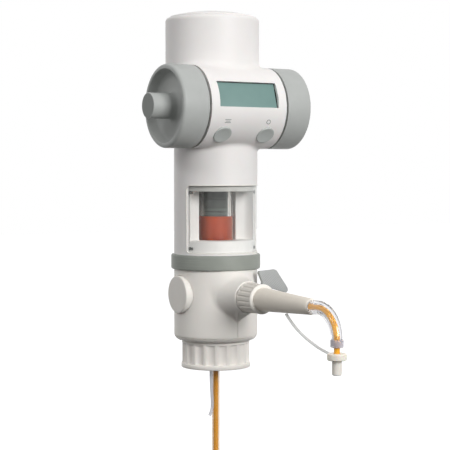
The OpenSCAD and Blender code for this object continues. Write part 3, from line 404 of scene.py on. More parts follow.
    @staticmethod
    def _edge_alpha(tree: bpy.types.NodeTree, shader: bpy.types.Node, finish: Finish) -> None:
        """Clear pieces grow denser towards their edges, as thick clear walls do."""
        facing = add_node(tree, "ShaderNodeLayerWeight", {"Blend": 0.35})
        span = add_node(tree, "ShaderNodeMapRange",
                        {"To Min": finish.alpha, "To Max": finish.edge_alpha})
        wire(tree, (facing, "Facing", span, "Value"), (span, "Result", shader, "Alpha"))


# ---------------------------------------------------------------- outlines and meshes


def arc(cx: float, cy: float, r: float, a0: float, a1: float, n: int = 8) -> list[Point2]:
    """Points on a circular arc, angles in degrees."""
    return [(cx + r * math.cos(math.radians(a0 + (a1 - a0) * i / n)),
             cy + r * math.sin(math.radians(a0 + (a1 - a0) * i / n))) for i in range(n + 1)]


def rect(left: float, right: float, low: float, high: float, corner: float = 0.0
         ) -> list[Point2]:
    """A rectangle from its lower left corner, or a ring's section, with rounded corners."""
    box = [(left, low), (right, low), (right, high), (left, high)]
    return fillet(box, corner) if corner else box


def fillet(points: Sequence[tuple], radius: float = 0.4, steps: int = 4,
           closed: bool = True) -> list[tuple]:
    """Rounds an outline's corners.

    Args:
        points: (x, y) or (x, y, radius) corners; radius 0 keeps a corner sharp.
        radius: the radius where a corner gives none.
        steps: segments in each rounded corner.
        closed: whether the last corner joins the first.
    Returns:
        The rounded outline as (x, y).
    """
    out: list[tuple] = []
    count = len(points)
    for i, p in enumerate(points):
        r = p[2] if len(p) > 2 else radius
        if r <= 0 or (not closed and i in (0, count - 1)):
            out.append((p[0], p[1]))
            continue
        here = np.array(p[:2], float)
        a = np.array(points[i - 1][:2], float) - here
        b = np.array(points[(i + 1) % count][:2], float) - here
        la, lb = np.linalg.norm(a), np.linalg.norm(b)
        a, b = a / la, b / lb
        half = math.acos(max(-1.0, min(1.0, float(a @ b)))) / 2
        if abs(half - math.pi / 2) < 0.02 or half < 0.02:
            out.append((p[0], p[1]))
            continue
        reach = min(r / math.tan(half), 0.49 * la, 0.49 * lb)
        r = reach * math.tan(half)
        centre = here + (a + b) / np.linalg.norm(a + b) * r / math.sin(half)
        start, end = here + a * reach - centre, here + b * reach - centre
        turn = math.acos(max(-1.0, min(1.0, float(start @ end) / (r * r))))
        sign = 1 if start[0] * end[1] - start[1] * end[0] > 0 else -1
        for k in range(steps + 1):
            t = sign * turn * k / steps
            out.append((centre[0] + start[0] * math.cos(t) - start[1] * math.sin(t),
                        centre[1] + start[0] * math.sin(t) + start[1] * math.cos(t)))
    return out


def finish_mesh(name: str, verts: Sequence[Sequence[float]], faces: Sequence[Sequence[int]],
                material: bpy.types.Material, sharp: float = SHARP) -> bpy.types.Object:
    """Makes an object from millimetre points, smooth but for edges sharper than an angle.

    Args:
        name: the piece's name.
        verts: points in millimetres.
        faces: index lists.
        material: its material.
        sharp: edges that bend more than this many degrees stay sharp.
    Returns:
        The object, linked to the scene.
    """
    bm = bmesh.new()
    made = [bm.verts.new(Vector(v) * MM) for v in verts]
    for f in faces:
        try:
            bm.faces.new([made[i] for i in f])
        except ValueError:
            LOG.debug("%s: a face was given twice", name)
    return finish_bmesh(name, bm, material, sharp)


def finish_bmesh(name: str, bm: bmesh.types.BMesh, material: bpy.types.Material,
                 sharp: float = SHARP) -> bpy.types.Object:
    """Cleans a bmesh, sets its smoothing and turns it into a linked object."""
    bmesh.ops.remove_doubles(bm, verts=bm.verts[:], dist=1e-7)
    bmesh.ops.recalc_face_normals(bm, faces=bm.faces[:])
    for f in bm.faces:
        f.smooth = True
    limit = math.radians(sharp)
    for e in bm.edges:
        if len(e.link_faces) == 2 and e.calc_face_angle(0.0) > limit:
            e.smooth = False
    mesh = bpy.data.meshes.new(name)
    bm.to_mesh(mesh)
    bm.free()
    obj = bpy.data.objects.new(name, mesh)
    bpy.context.scene.collection.objects.link(obj)
    obj.data.materials.append(material)
    return obj


def placed(r: float, h: float, angle: float, axis: Axis, origin: Point3) -> Point3:
    """A point of a turned profile in the row frame."""
    c, s = r * math.cos(angle), r * math.sin(angle)
    local = {Axis.UP: (c, s, h), Axis.RIGHT: (h, c, s), Axis.LEFT: (-h, c, s),
             Axis.FRONT: (c, -h, s)}[axis]
    return (local[0] + origin[0], local[1] + origin[1], local[2] + origin[2])


def lathe(name: str, profile: Sequence[tuple], material: bpy.types.Material,
          axis: Axis = Axis.UP, origin: Point3 = (0, 0, 0), segments: int = 128,
          relief: Callable[[float], float] | None = None, sharp: float = SHARP
          ) -> bpy.types.Object:
    """Turns a closed outline round an axis.

    Args:
        name: the piece's name.
        profile: (radius, height) or (radius, height, weight) round the outline. It may
            start and end on the axis.
        material: its material.
        axis: where height runs.
        origin: the axis's origin.
        segments: steps round the turn.
        relief: depth taken from the radius at an angle, times the point's weight.
        sharp: edges that bend more stay sharp.
    Returns:
        The turned piece.
    """
    verts: list[Point3] = []
    rows: list[list[int]] = []
    for p in profile:
        weight = p[2] if len(p) > 2 else 0.0
        if p[0] < 1e-6:
            rows.append([len(verts)] * segments)
            verts.append(placed(0, p[1], 0, axis, origin))
            continue
        rows.append(list(range(len(verts), len(verts) + segments)))
        for k in range(segments):
            angle = TAU * k / segments
            r = p[0] - (weight * relief(angle) if relief and weight else 0.0)
            verts.append(placed(r, p[1], angle, axis, origin))
    open_ends = profile[0][0] < 1e-6 and profile[-1][0] < 1e-6
    faces = []
    for i in range(len(rows) - (1 if open_ends else 0)):
        a, b = rows[i], rows[(i + 1) % len(rows)]
        for k in range(segments):
            n = (k + 1) % segments
            corners = [a[k], a[n], b[n], b[k]]
            face = [c for j, c in enumerate(corners) if c not in corners[:j]]
            if len(face) > 2:
                faces.append(face)
    return finish_mesh(name, verts, faces, material, sharp)


def cylinder(r: float, low: float, high: float, material: bpy.types.Material,
             axis: Axis = Axis.UP, origin: Point3 = (0, 0, 0), segments: int = 64
             ) -> bpy.types.Object:
    """A plain cylinder to cut with."""
    return lathe("cutter", rect(0, r, low, high), material, axis, origin, segments)


def as_given(u: float, v: float, w: float) -> Point3:
    """Places a prism as its numbers say."""
    return (u, v, w)


def to_front(u: float, v: float, w: float) -> Point3:
    """Places a prism upright, its depth running to the front."""
    return (u, -w, v)


def prism(name: str, outline: Sequence[Point2], depth: tuple[float, float],
          place: Callable[[float, float, float], Point3], material: bpy.types.Material,
          bevel: float = 0.0, sharp: float = SHARP) -> bpy.types.Object:
    """Gives a flat outline thickness, with rounded edges.

    Args:
        name: the piece's name.
        outline: (u, v) corners.
        depth: where it starts and ends along w.
        place: turns (u, v, w) into a point of the row frame.
        material: its material.
        bevel: rounding of all its edges.
        sharp: edges that bend more stay sharp.
    Returns:
        The piece.
    """
    bm = bmesh.new()
    low = [bm.verts.new(Vector(place(u, v, depth[0])) * MM) for u, v in outline]
    high = [bm.verts.new(Vector(place(u, v, depth[1])) * MM) for u, v in outline]
    rims = [bm.faces.new(low), bm.faces.new(list(reversed(high)))]
    count = len(outline)
    for i in range(count):
        j = (i + 1) % count
        bm.faces.new([low[i], high[i], high[j], low[j]])
    bmesh.ops.recalc_face_normals(bm, faces=bm.faces[:])
    if bevel > 0:
        edges = list({e for f in rims for e in f.edges})
        bmesh.ops.bevel(bm, geom=edges, offset=bevel * MM, offset_type="OFFSET", segments=3,
                        profile=0.5, affect="EDGES", clamp_overlap=True, material=-1)
    return finish_bmesh(name, bm, material, sharp)


def smooth_path(points: Sequence[Sequence[float]], spacing: float = 1.0) -> list[Vector]:
    """A Catmull-Rom curve through points, at an even spacing.

    Args:
        points: corners in millimetres.
        spacing: distance between the points returned.
    Returns:
        Points along the curve.
    """
    pts = [Vector(p) for p in points]
    dense: list[Vector] = []
    for i in range(len(pts) - 1):
        a, b = pts[max(i - 1, 0)], pts[i]
        c, d = pts[i + 1], pts[min(i + 2, len(pts) - 1)]
        for k in range(16):
            t = k / 16
            dense.append(0.5 * (2 * b + (c - a) * t + (2 * a - 5 * b + 4 * c - d) * t * t
                                + (3 * b - a - 3 * c + d) * t ** 3))
    dense.append(pts[-1])
    total = sum((dense[i + 1] - dense[i]).length for i in range(len(dense) - 1))
    count = max(2, round(total / spacing))
    out, walked, i = [dense[0]], 0.0, 0
    for k in range(1, count):
        want = total * k / count
        while walked + (dense[i + 1] - dense[i]).length < want:
            walked += (dense[i + 1] - dense[i]).length
            i += 1
        step = dense[i + 1] - dense[i]
        out.append(dense[i] + step * ((want - walked) / max(step.length, 1e-9)))
    return out + [dense[-1]]


def swept(name: str, path: Sequence[Sequence[float]], radius: float | Callable[[float], float],
          material: bpy.types.Material, side: Point3 = (1, 0, 0), sides: int = 20,
          flat: float = 1.0, hole: float | Callable[[float], float] = 0.0, closed: bool = False
          ) -> bpy.types.Object:
    """Sweeps a round or flattened section along a path.

    Args:
        name: the piece's name.
        path: points in millimetres.
        radius: the section's half width, or a function of the share of the way along.
        material: its material.
        side: the direction of the section's width.
        sides: points round the section.
        flat: the section's thickness as a share of its width.
        hole: radius of a bore through it, as radius is given.
        closed: whether the path joins its own start.
    Returns:
        The piece.
    """
    pts = [Vector(p) for p in path]
    last = len(pts) - 1
    rings: list[list[Vector]] = []
    for shell in ((radius, hole) if hole else (radius,)):
        size = shell if callable(shell) else (lambda t, value=shell: value)
        shell_rings = []
        for i, p in enumerate(pts):
            ahead = pts[(i + 1) % (last + 1)] if closed else pts[min(i + 1, last)]
            behind = pts[i - 1] if closed else pts[max(i - 1, 0)]
            t = (ahead - behind).normalized()
            u = (Vector(side) - Vector(side).dot(t) * t).normalized()
            w = t.cross(u)
            r = size(i / last)
            shell_rings.append([p + r * math.cos(TAU * k / sides) * u
                                + flat * r * math.sin(TAU * k / sides) * w
                                for k in range(sides)])
        rings += shell_rings if not rings else list(reversed(shell_rings))
    verts = [v for ring in rings for v in ring]
    faces = []
    loop = closed or bool(hole)
    for i in range(len(rings) - (0 if loop else 1)):
        j = (i + 1) % len(rings)
        for k in range(sides):
            n = (k + 1) % sides
            faces.append([i * sides + k, i * sides + n, j * sides + n, j * sides + k])
    if not loop:
        faces.append(list(range(sides)))
        faces.append([(len(rings) - 1) * sides + k for k in range(sides)])
    return finish_mesh(name, verts, faces, material, 50)


def joined(name: str, objects: Sequence[bpy.types.Object]) -> bpy.types.Object:
    """Joins pieces of one body into one object, keeping their materials."""
    bm = bmesh.new()
    mesh = bpy.data.meshes.new(name)
    slots: list[bpy.types.Material] = []
    for o in objects:
        start = len(bm.faces)
        bm.from_mesh(o.data)
        bm.faces.ensure_lookup_table()
        for m in o.data.materials:
            if m not in slots:
                slots.append(m)
        lookup = [slots.index(m) for m in o.data.materials]
        for f in bm.faces[start:]:
            f.material_index = lookup[min(f.material_index, len(lookup) - 1)]
    bm.to_mesh(mesh)
    bm.free()
    for m in slots:
        mesh.materials.append(m)
    obj = bpy.data.objects.new(name, mesh)
    bpy.context.scene.collection.objects.link(obj)
    for o in objects:
        bpy.data.objects.remove(o)
    return obj


def applied(obj: bpy.types.Object) -> bpy.types.Object:
    """Applies an object's modifiers to its mesh."""
    graph = bpy.context.evaluated_depsgraph_get()
    graph.update()
    mesh = bpy.data.meshes.new_from_object(obj.evaluated_get(graph))
    obj.modifiers.clear()
    old = obj.data
    obj.data = mesh
    mesh.name = obj.name
    bpy.data.meshes.remove(old)
    return obj


def carve(obj: bpy.types.Object, cutters: Sequence[bpy.types.Object],
          operation: str = "DIFFERENCE") -> bpy.types.Object:
    """Takes cutters out of a piece, or adds them, and removes them afterwards."""
    for c in cutters:
        mod = obj.modifiers.new("carve", "BOOLEAN")
        mod.operation = operation
        mod.object = c
        solvers = [i.identifier for i in mod.bl_rna.properties["solver"].enum_items]
        mod.solver = "MANIFOLD" if "MANIFOLD" in solvers else "EXACT"
        applied(obj)
        bpy.data.objects.remove(c)
    return obj


def reshade(obj: bpy.types.Object, sharp: float) -> bpy.types.Object:
    """Sets a mesh smooth but for edges sharper than an angle."""
    bm = bmesh.new()
    bm.from_mesh(obj.data)
    limit = math.radians(sharp)
    for f in bm.faces:
        f.smooth = True
    for e in bm.edges:
        e.smooth = not (len(e.link_faces) == 2 and e.calc_face_angle(0.0) > limit)
    bm.to_mesh(obj.data)
    bm.free()
    return obj


# ---------------------------------------------------------------- distance fields

Field = Callable[[np.ndarray], np.ndarray]


def soft_union(a: np.ndarray, b: np.ndarray, k: float | np.ndarray) -> np.ndarray:
    """Union of two distance fields with a fillet of about k."""
    h = np.maximum(k - np.abs(a - b), 0) / k
    return np.minimum(a, b) - h * h * k / 4


def rod_field(p: np.ndarray, centre: Point2, r: float, low: float, high: float,
              along: int = 2, edge: float = 0.0) -> np.ndarray:
    """Distance to a cylinder along one row axis, with rounded ends."""
    others = [i for i in range(3) if i != along]
    radial = np.hypot(p[:, others[0]] - centre[0], p[:, others[1]] - centre[1]) - r + edge
    axial = np.abs(p[:, along] - (low + high) / 2) - (high - low) / 2 + edge
    outside = np.hypot(np.maximum(radial, 0), np.maximum(axial, 0))
    return outside + np.minimum(np.maximum(radial, axial), 0) - edge


def field_piece(name: str, seeds: Sequence[bpy.types.Object], shape: Field, voxel: float,
                material: bpy.types.Material) -> bpy.types.Object:
    """Remeshes overlapping seeds into one skin and lays it on a distance field.

    Args:
        name: the piece's name.
        seeds: closed solids that together nearly fill the shape.
        shape: the distance field in millimetres.
        voxel: size of the mesh's quads in millimetres.
        material: its material.
    Returns:
        The piece, closed and smooth.
    """
    obj = joined(name, seeds)
    mod = obj.modifiers.new("remesh", "REMESH")
    mod.mode = "VOXEL"
    mod.voxel_size = voxel * MM
    applied(obj)
    count = len(obj.data.vertices)
    co = np.empty(count * 3)
    obj.data.vertices.foreach_get("co", co)
    p = co.reshape(-1, 3) / MM
    passes, step, furthest, flattest = 8, 0.02, 1.5, 0.2
    for _ in range(passes):
        d = shape(p)
        grad = np.stack([shape(p + step * e) - shape(p - step * e) for e in np.eye(3)], 1)
        grad /= 2 * step
        size = np.maximum((grad ** 2).sum(1), flattest)
        p = p - grad * (np.clip(d, -furthest, furthest) / size)[:, None]
    obj.data.vertices.foreach_set("co", (p * MM).ravel())
    obj.data.update()
    obj.data.materials.clear()
    obj.data.materials.append(material)
    return reshade(obj, 60)


# ---------------------------------------------------------------- the build


@dataclass
class Kit:
    """What every sub-assembly needs: the shader, and ways to place and finish pieces."""

    shader: Shader

    def mat(self, finish: Finish) -> bpy.types.Material:
        """The material of a finish."""
        return self.shader.of(finish)

    def fix(self, obj: bpy.types.Object, body: Body, slot: str,
            *replaces: str) -> bpy.types.Object:
        """Makes a piece ride on a body and stand for CAD nodes.

        Args:
            obj: the piece.
            body: the body it moves with.
            slot: the record's material slot; not used.
            replaces: CAD nodes that it stands for.
        Returns:
            The piece.
        """
        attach(obj, body.value)
        if replaces:
            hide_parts(*replaces)
        return obj

    def turn(self, name: str, profile: Sequence[tuple], finish: Finish, body: Body,
             slot: str, *replaces: str, **how: object) -> bpy.types.Object:
        """Turns a piece and fixes it; how is what lathe takes besides."""
        piece = lathe(name, profile, self.mat(finish), **how)
        return self.fix(piece, body, slot, *replaces)

    def dress(self, finish: Finish, *nodes: str) -> None:
        """Gives carried-over CAD nodes a finish."""
        for n in nodes:
            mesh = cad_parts[n].data
            mesh.materials.clear()
            mesh.materials.append(self.mat(finish))


@dataclass
class Studio:
    """Camera, lights, floor and world."""

    yaw: float = 31.0
    distance: float = 1057.0
    focal_px: float = 1350.0
    height: float = 154.0
    frame_px: float = 450.0
    axis_px: float = 215.7
    horizon_px: float = 170.0
    floor_glow: float = 0.55
    bright_side: Point3 = (0.0, 0.97, 0.24)
    dark_level: float = 0.28
    bright_level: float = 0.8
    below: float = 0.14
    key_power: float = 18.5
    fill_power: float = 2.8

    @staticmethod
    def _stand(name: str, data: bpy.types.ID, spot: Vector, look: Vector) -> bpy.types.Object:
        """Puts a camera or a light at a spot in millimetres, looking along a vector."""
        obj = bpy.data.objects.new(name, data)
        bpy.context.scene.collection.objects.link(obj)
        obj.location = spot * MM
        obj.rotation_euler = look.to_track_quat("-Z", "Y").to_euler()
        return obj

    def camera(self) -> None:
        """Puts the camera where the photograph was taken from."""
        data = bpy.data.cameras.new("photo_camera")
        data.sensor_width = 36.0
        data.lens = self.focal_px / self.frame_px * data.sensor_width
        data.clip_start, data.clip_end = 0.05, 20.0
        yaw = math.radians(self.yaw)
        ahead = Vector((math.sin(yaw), math.cos(yaw), 0))
        right = Vector((math.cos(yaw), -math.sin(yaw), 0))
        spot = -ahead * self.distance + Vector((0, 0, self.height))
        aside = (self.frame_px / 2 - self.axis_px) / self.focal_px
        down = (self.frame_px / 2 - self.horizon_px) / self.focal_px
        look = ahead + right * aside - Vector((0, 0, down))
        bpy.context.scene.camera = self._stand("photo_camera", data, spot, look)

    @staticmethod
    def _seen(tree: bpy.types.NodeTree) -> bpy.types.NodeSocket:
        """One for rays from the camera, a mirror or clear matter, else nought."""
        path = add_node(tree, "ShaderNodeLightPath")
        total = path.outputs["Is Camera Ray"]
        for kind in ("Is Glossy Ray", "Is Transmission Ray"):
            add = add_node(tree, "ShaderNodeMath", use_clamp=True)
            tree.links.new(total, add.inputs[0])
            tree.links.new(path.outputs[kind], add.inputs[1])
            total = add.outputs[0]
        return total

    def floor(self) -> None:
        """A plain pale floor under the filling tube's end."""
        mat = bpy.data.materials.new("floor_pale")
        mat.use_nodes = True
        tree = mat.node_tree
        shader = tree.nodes["Principled BSDF"]
        set_inputs(shader, {"Base Color": (0.9, 0.9, 0.9, 1), "Roughness": 0.9,
                            "Emission Color": (1, 1, 1, 1)})
        glow = add_node(tree, "ShaderNodeMath", {1: self.floor_glow}, operation="MULTIPLY")
        path = add_node(tree, "ShaderNodeLightPath")
        wire(tree, (path, "Is Camera Ray", glow, 0), (glow, 0, shader, "Emission Strength"))
        size, level = 6000, -204
        obj = finish_mesh("floor", [(-size, -size, level), (size, -size, level),
                                    (size, size, level), (-size, size, level)],
                          [(0, 1, 2, 3)], mat)
        obj.visible_diffuse = False
        obj.visible_glossy = False

    def world(self) -> None:
        """White where it is seen; as light it comes from behind and above."""
        world = bpy.data.worlds.new("studio")
        bpy.context.scene.world = world
        world.use_nodes = True
        tree = world.node_tree
        coords = add_node(tree, "ShaderNodeTexCoord")
        dot = add_node(tree, "ShaderNodeVectorMath", {1: self.bright_side},
                       operation="DOT_PRODUCT")
        span = add_node(tree, "ShaderNodeMapRange", {
            "From Min": -0.45, "From Max": 0.6, "To Min": self.dark_level,
            "To Max": self.bright_level}, interpolation_type="SMOOTHSTEP")
        split = add_node(tree, "ShaderNodeSeparateXYZ")
        height = add_node(tree, "ShaderNodeMapRange", {
            "From Min": -0.35, "From Max": 0.1, "To Min": self.below,
            "To Max": 1.0}, interpolation_type="SMOOTHSTEP")
        times = add_node(tree, "ShaderNodeMath", operation="MULTIPLY")
        mix = add_node(tree, "ShaderNodeMix", {3: 1.0}, data_type="FLOAT")
        back = tree.nodes["Background"]
        set_inputs(back, {"Color": (1, 1, 1, 1)})
        wire(tree, (coords, "Generated", dot, 0), (dot, "Value", span, "Value"),
             (coords, "Generated", split, 0), (split, "Z", height, "Value"),
             (span, "Result", times, 0), (height, "Result", times, 1),
             (times, 0, mix, 2), (mix, 0, back, "Strength"))
        tree.links.new(self._seen(tree), mix.inputs[0])

    def _area(self, name: str, spot: Point3, aim: Point3, size: float, power: float) -> None:
        """A square soft box at a spot, aimed at a point, in millimetres."""
        data = bpy.data.lights.new(name, "AREA")
        data.shape = "SQUARE"
        data.size = size * MM
        data.energy = power
        self._stand(name, data, Vector(spot), Vector(aim) - Vector(spot))

    def lights(self) -> None:
        """A key to the right of the camera, and a weaker one high on its left."""
        self._area("key", (115, -1434, 580), (0, 0, 130), 620, self.key_power)
        self._area("fill", (-1150, -330, 1000), (0, 0, 170), 320, self.fill_power)

    def build(self) -> None:
        """Sets everything up."""
        self.camera()
        self.floor()
        self.world()
        self.lights()
        scene = bpy.context.scene
        scene.view_settings.view_transform = "Standard"
        scene.view_settings.look = "None"


@dataclass
class Cords:
    """The free cords: the cap's strap and the return tube."""

    kit: Kit
    strap_w: float = 2.4
    return_r: float = 1.2

    STRAP = ((-62, 26), (-60, 24.4), (-55, 20.7), (-50, 17.5), (-45, 14.9), (-40, 12.6),
             (-35, 10.6), (-30, 8.8), (-25, 7.2), (-20, 5.8), (-15, 4.7), (-11, 3.9),
             (-7.5, 3.2))
    RETURN = ((0, 3), (0, -4), (0, -12), (0.1, -20), (0.4, -27), (0.8, -34), (1.1, -40),
              (0.9, -44.5), (0, -47.6), (-1.4, -50.4))

    def build(self) -> None:
        foot = D.flange_z - 4.7
        path = smooth_path([(0, -D.nozzle_y - y, foot + z) for y, z in self.STRAP], 1.2)
        strap = swept("cap_strap_band", path, self.strap_w / 2, self.kit.mat(STRAP),
                      sides=16, flat=0.8)
        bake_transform(strap)
        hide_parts("cap_strap")
        path = smooth_path([(-7.5 + x, -5.3, 12.7 + z) for x, z in self.RETURN], 1.2)
        tube = swept("return_hose", path, self.return_r, self.kit.mat(RETURN),
                     side=(0, 1, 0), sides=16)
        self.kit.fix(tube, Body.HEAD, "clear_tube", "return_tube")

    @staticmethod
    def _length(path: Sequence[Vector]) -> float:
        """A path's length in metres."""
        return sum((path[i + 1] - path[i]).length for i in range(len(path) - 1)) * MM


@dataclass
class Collar:
    """The fluted screw collar with its thread, seal and retainer."""

    kit: Kit
    flutes: int = 18
    depth: float = 1.7
    cutter: float = 5.4

    def _flute(self, angle: float) -> float:
        """Depth of the flutes at an angle."""
        pitch = TAU / self.flutes
        off = (angle / pitch) % 1.0 * pitch - pitch / 2
        reach = D.collar_r + self.cutter - self.depth
        inside = self.cutter ** 2 - (reach * math.sin(off)) ** 2
        if inside <= 0:
            return 0.0
        return max(0.0, D.collar_r - reach * math.cos(off) + math.sqrt(inside))

    def build(self) -> None:
        """Makes the collar's pieces."""
        top, rim, bore, roof = D.collar_h, D.collar_r, D.bore_r, D.roof_z
        ends = [(bore, 0), (26.7, 0), (27.0, 0.3), (27.0, 3.1), (26.75, 3.45), (rim, 3.5)]
        flutes = [(rim, 3.55, 0.0), (rim, 3.7, 0.8), (rim, 3.9, 1.0), (rim, 10, 1.0),
                  (rim, 17.2, 1.0)]
        flutes += [(rim, 17.2 + 2.0 * math.sin(math.radians(a)), math.cos(math.radians(a)))
                   for a in (15, 30, 45, 60, 75, 90)]
        inside = [(16.4, top), (16.1, top - 0.3), (16.1, 17.9), (16.3, roof), (22.45, roof),
                  (bore, 17.3)]
        self.kit.turn("screw_collar", ends + flutes + arc(25.5, 20.2, 1.0, 0, 90, 6) + inside,
                      COLLAR, Body.COLLAR, "white_moulding", "collar",
                      segments=self.flutes * 20, relief=self._flute, sharp=50)
        turns, steps, thread_r, pitch = 2.25, 72, 22.55, 4.0
        helix = [(thread_r * math.cos(TAU * k / steps), thread_r * math.sin(TAU * k / steps),
                  2.0 + pitch * k / steps) for k in range(int(turns * steps) + 1)]
        thread = swept("collar_thread", helix,
                       lambda t: 0.25 + 0.85 * min(1.0, 8 * t, 8 * (1 - t)),
                       self.kit.mat(COLLAR), side=(0, 0, 1), sides=12, flat=0.7)
        self.kit.fix(thread, Body.COLLAR, "white_moulding")
        self.kit.turn("collar_retaining_ring", rect(D.spigot_r, 20.5, 14.5, 17.3, 0.4),
                      HOUSING, Body.HEAD, "white_moulding", "collar_retainer", segments=96)
        self.kit.turn("mouth_seal", rect(12.02, 20.5, 12.7, 14.48, 0.5), RUBBER, Body.HEAD,
                      "seal_rubber", "bottle_seal", segments=96)


@dataclass
class Housing:
    """The valve housing with its boss and keel, the base plate, ring and vent plug."""

    kit: Kit

    @staticmethod
    def _boss_radius(y: np.ndarray) -> np.ndarray:
        """The boss's radius at a distance in front of the column's axis."""
        return np.interp(y, [0, 20, 28.0, 32.0, 36.0, 40.0, 44.0, 48.5],
                         [19.0, 18.2, 17.3, 16.1, 14.8, 13.7, 12.8, 12.2])

    def _shape(self, p: np.ndarray) -> np.ndarray:
        """The housing's distance field."""
        body = rod_field(p, (0, 0), D.column_r, D.base_z, 82.0, 2, 5.0)
        y = -p[:, 1]
        radial = np.hypot(p[:, 0], p[:, 2] - D.outlet_z) - self._boss_radius(y)
        boss = np.maximum(radial * 0.86, y - 48.5)
        width = np.interp(p[:, 2], [38.4, 51.0, 58.0], [0.9, 9.8, 12.0])
        across = (np.abs(p[:, 0]) - width) * 0.82
        front = (y - np.interp(p[:, 2], [38.2, 46.6, 50.0], [32.9, 44.7, 45.0])) * 0.6
        low = 38.1 - p[:, 2]
        keel = np.maximum(np.maximum(across, front), np.maximum(low, p[:, 2] - D.outlet_z))
        fold = np.interp(p[:, 2], [44, 58, 74], [1.4, 2.6, 8.0])
        return soft_union(body, soft_union(boss, keel, 1.0), fold)

    def build(self) -> None:
        """Makes the housing's pieces."""
        mat = self.kit.mat(HOUSING)
        outlet = (0, 0, D.outlet_z)
        seeds = [
            lathe("seed_body", [(0, 21.5), (27.6, 21.5), (32.6, 26.5), (32.6, 82), (0, 82)], mat,
                  segments=96),
            lathe("seed_boss", [(0, 0), (18.6, 0), (18.2, 20), (16.1, 32), (13.7, 40),
                                (12.2, 48.5), (0, 48.5)], mat, Axis.FRONT, outlet, 64),
            prism("seed_keel", [(0, 38), (32.8, 38), (44.6, 46.6), (44.9, 57), (0, 57)],
                  (-1.0, 1.0),
                  lambda u, v, w: (w * min(11.5, 0.8 + 0.71 * max(0, v - 38.4)), -u, v), mat)]
        shell = field_piece("valve_body", seeds, self._shape, 0.8, mat)
        carve(shell, [
            cylinder(PAST, 0, D.housing_z + 0.05, mat),  # foot
            cylinder(PAST, D.ring_z, 120, mat),  # top
            cylinder(14.9, 27.0, 50, mat, Axis.LEFT, outlet, 96),  # vent plug's pocket
            cylinder(9.06, 14, 28, mat, Axis.LEFT, outlet),  # its stem
            cylinder(7.42, 10, 60, mat, Axis.FRONT, outlet),
            cylinder(3.06, 12, 50, mat, Axis.FRONT, (D.lever_x, 0, D.lever_z), 32),
            lathe("cut_joint", rect(31.7, PAST, 24.6, 25.15), mat, segments=128),
            prism("cut_seam", rect(-0.22, 0.22, 22, 37.4), (32.1, 36.0),
                  to_front, mat)])
        reshade(shell, 35)
        self.kit.fix(shell, Body.HEAD, "white_moulding", "valve_housing")
        self.kit.turn("housing_neck", rect(25.9, 29.8, 76.9, D.split_z), HOUSING, Body.HEAD,
                      "white_moulding", segments=96)
        edge = arc(D.column_r - 5, D.base_z + 5, 5.0, -90, -24.0, 8)
        self.kit.turn("base_disc", [(12.02, 14.52), (15.98, 14.52), (15.98, 21.5)] + edge
                      + [(31.6, 24.5), (31.5, D.housing_z - 0.02), (12.02, D.housing_z - 0.02)],
                      HOUSING, Body.HEAD, "white_moulding", "base_plate", segments=160)
        self._triangle_mark()
        self._plug()
        self._ring()

    def _triangle_mark(self) -> None:
        """A small plain triangle in relief at the seam's foot."""
        corners = [(-1.5, 25.3), (1.5, 25.3), (0, 28.2)]

        def place(u: float, v: float, w: float) -> Point3:
            r = 32.45 + w
            edge = D.base_z + 5
            r -= 5 - math.sqrt(max(25 - (edge - v) ** 2, 0)) if v < edge else 0
            return (r * math.sin(u / r), -r * math.cos(u / r), v)

        parts = []
        for i in range(3):
            a, b = np.array(corners[i]), np.array(corners[(i + 1) % 3])
            side = (b - a) / np.linalg.norm(b - a)
            n = np.array([-side[1], side[0]]) * 0.14
            parts.append(prism(f"mark_{i}", [tuple(a - n), tuple(b - n), tuple(b + n),
                                             tuple(a + n)], (0.0, 0.3), place,
                               self.kit.mat(HOUSING)))
        mark = joined("seam_triangle", parts)
        self.kit.fix(mark, Body.HEAD, "white_moulding")

    def _plug(self) -> None:
        """The vent plug on the left."""
        face = [(0, 35.0), (13.2, 35.0), (14.2, 34.8), (14.6, 34.2), (14.6, 27.4), (14.3, 27.1),
                (9.0, 27.1), (9.0, 18.4), (8.4, 18.0), (0, 18.0)]
        outline = fillet([(*p, 0.0 if p[0] < 1 else 0.25) for p in face], 0.25, 3)
        self.kit.turn("vent_stopper", outline, HOUSING, Body.PLUG, "white_moulding", "vent_plug",
                      axis=Axis.LEFT, origin=(0, 0, D.outlet_z), segments=160)

    def _ring(self) -> None:
        """The grey lock ring with a fine step under its top edge."""
        low, high = D.ring_z + 0.1, D.column_z - 0.1
        outline = fillet([(29.86, low, 0.2), (34.9, low, 1.2), (34.9, high - 0.9, 0.15),
                          (34.72, high - 0.8, 0.1), (34.72, high, 1.0), (29.86, high, 0.2)],
                         1.0, 6)
        self.kit.turn("lock_band", outline, RING, Body.RING, "ring_grey", "lock_ring",
                      segments=192, sharp=50)


def window_columns(grow: float, corner: float, steps: int = 96) -> list[tuple[float, float, float]]:
    """The window's outline as (angle in radians, lowest, highest) columns.

    Args:
        grow: how far the outline is grown, in millimetres.
        corner: the radius of its corners.
        steps: columns across.
    Returns:
        The columns from left to right.
    """
    half = math.radians(D.window_half) + grow / D.column_r
    low, high = D.window_z - grow, D.window_z + D.window_h + grow
    edge = corner / D.column_r
    angles = sorted({*(half * (2 * k / steps - 1) for k in range(steps + 1)),
                     *(s * (half - edge + edge * math.sin(math.radians(a)))
                       for a in range(0, 91, 10) for s in (-1, 1))})
    out = []
    for a in angles:
        into = max(0.0, (abs(a) - (half - edge)) / edge)
        cut = corner * (1 - math.sqrt(max(0.0, 1 - min(into, 1.0) ** 2)))
        out.append((a, low + cut, high - cut))
    return out


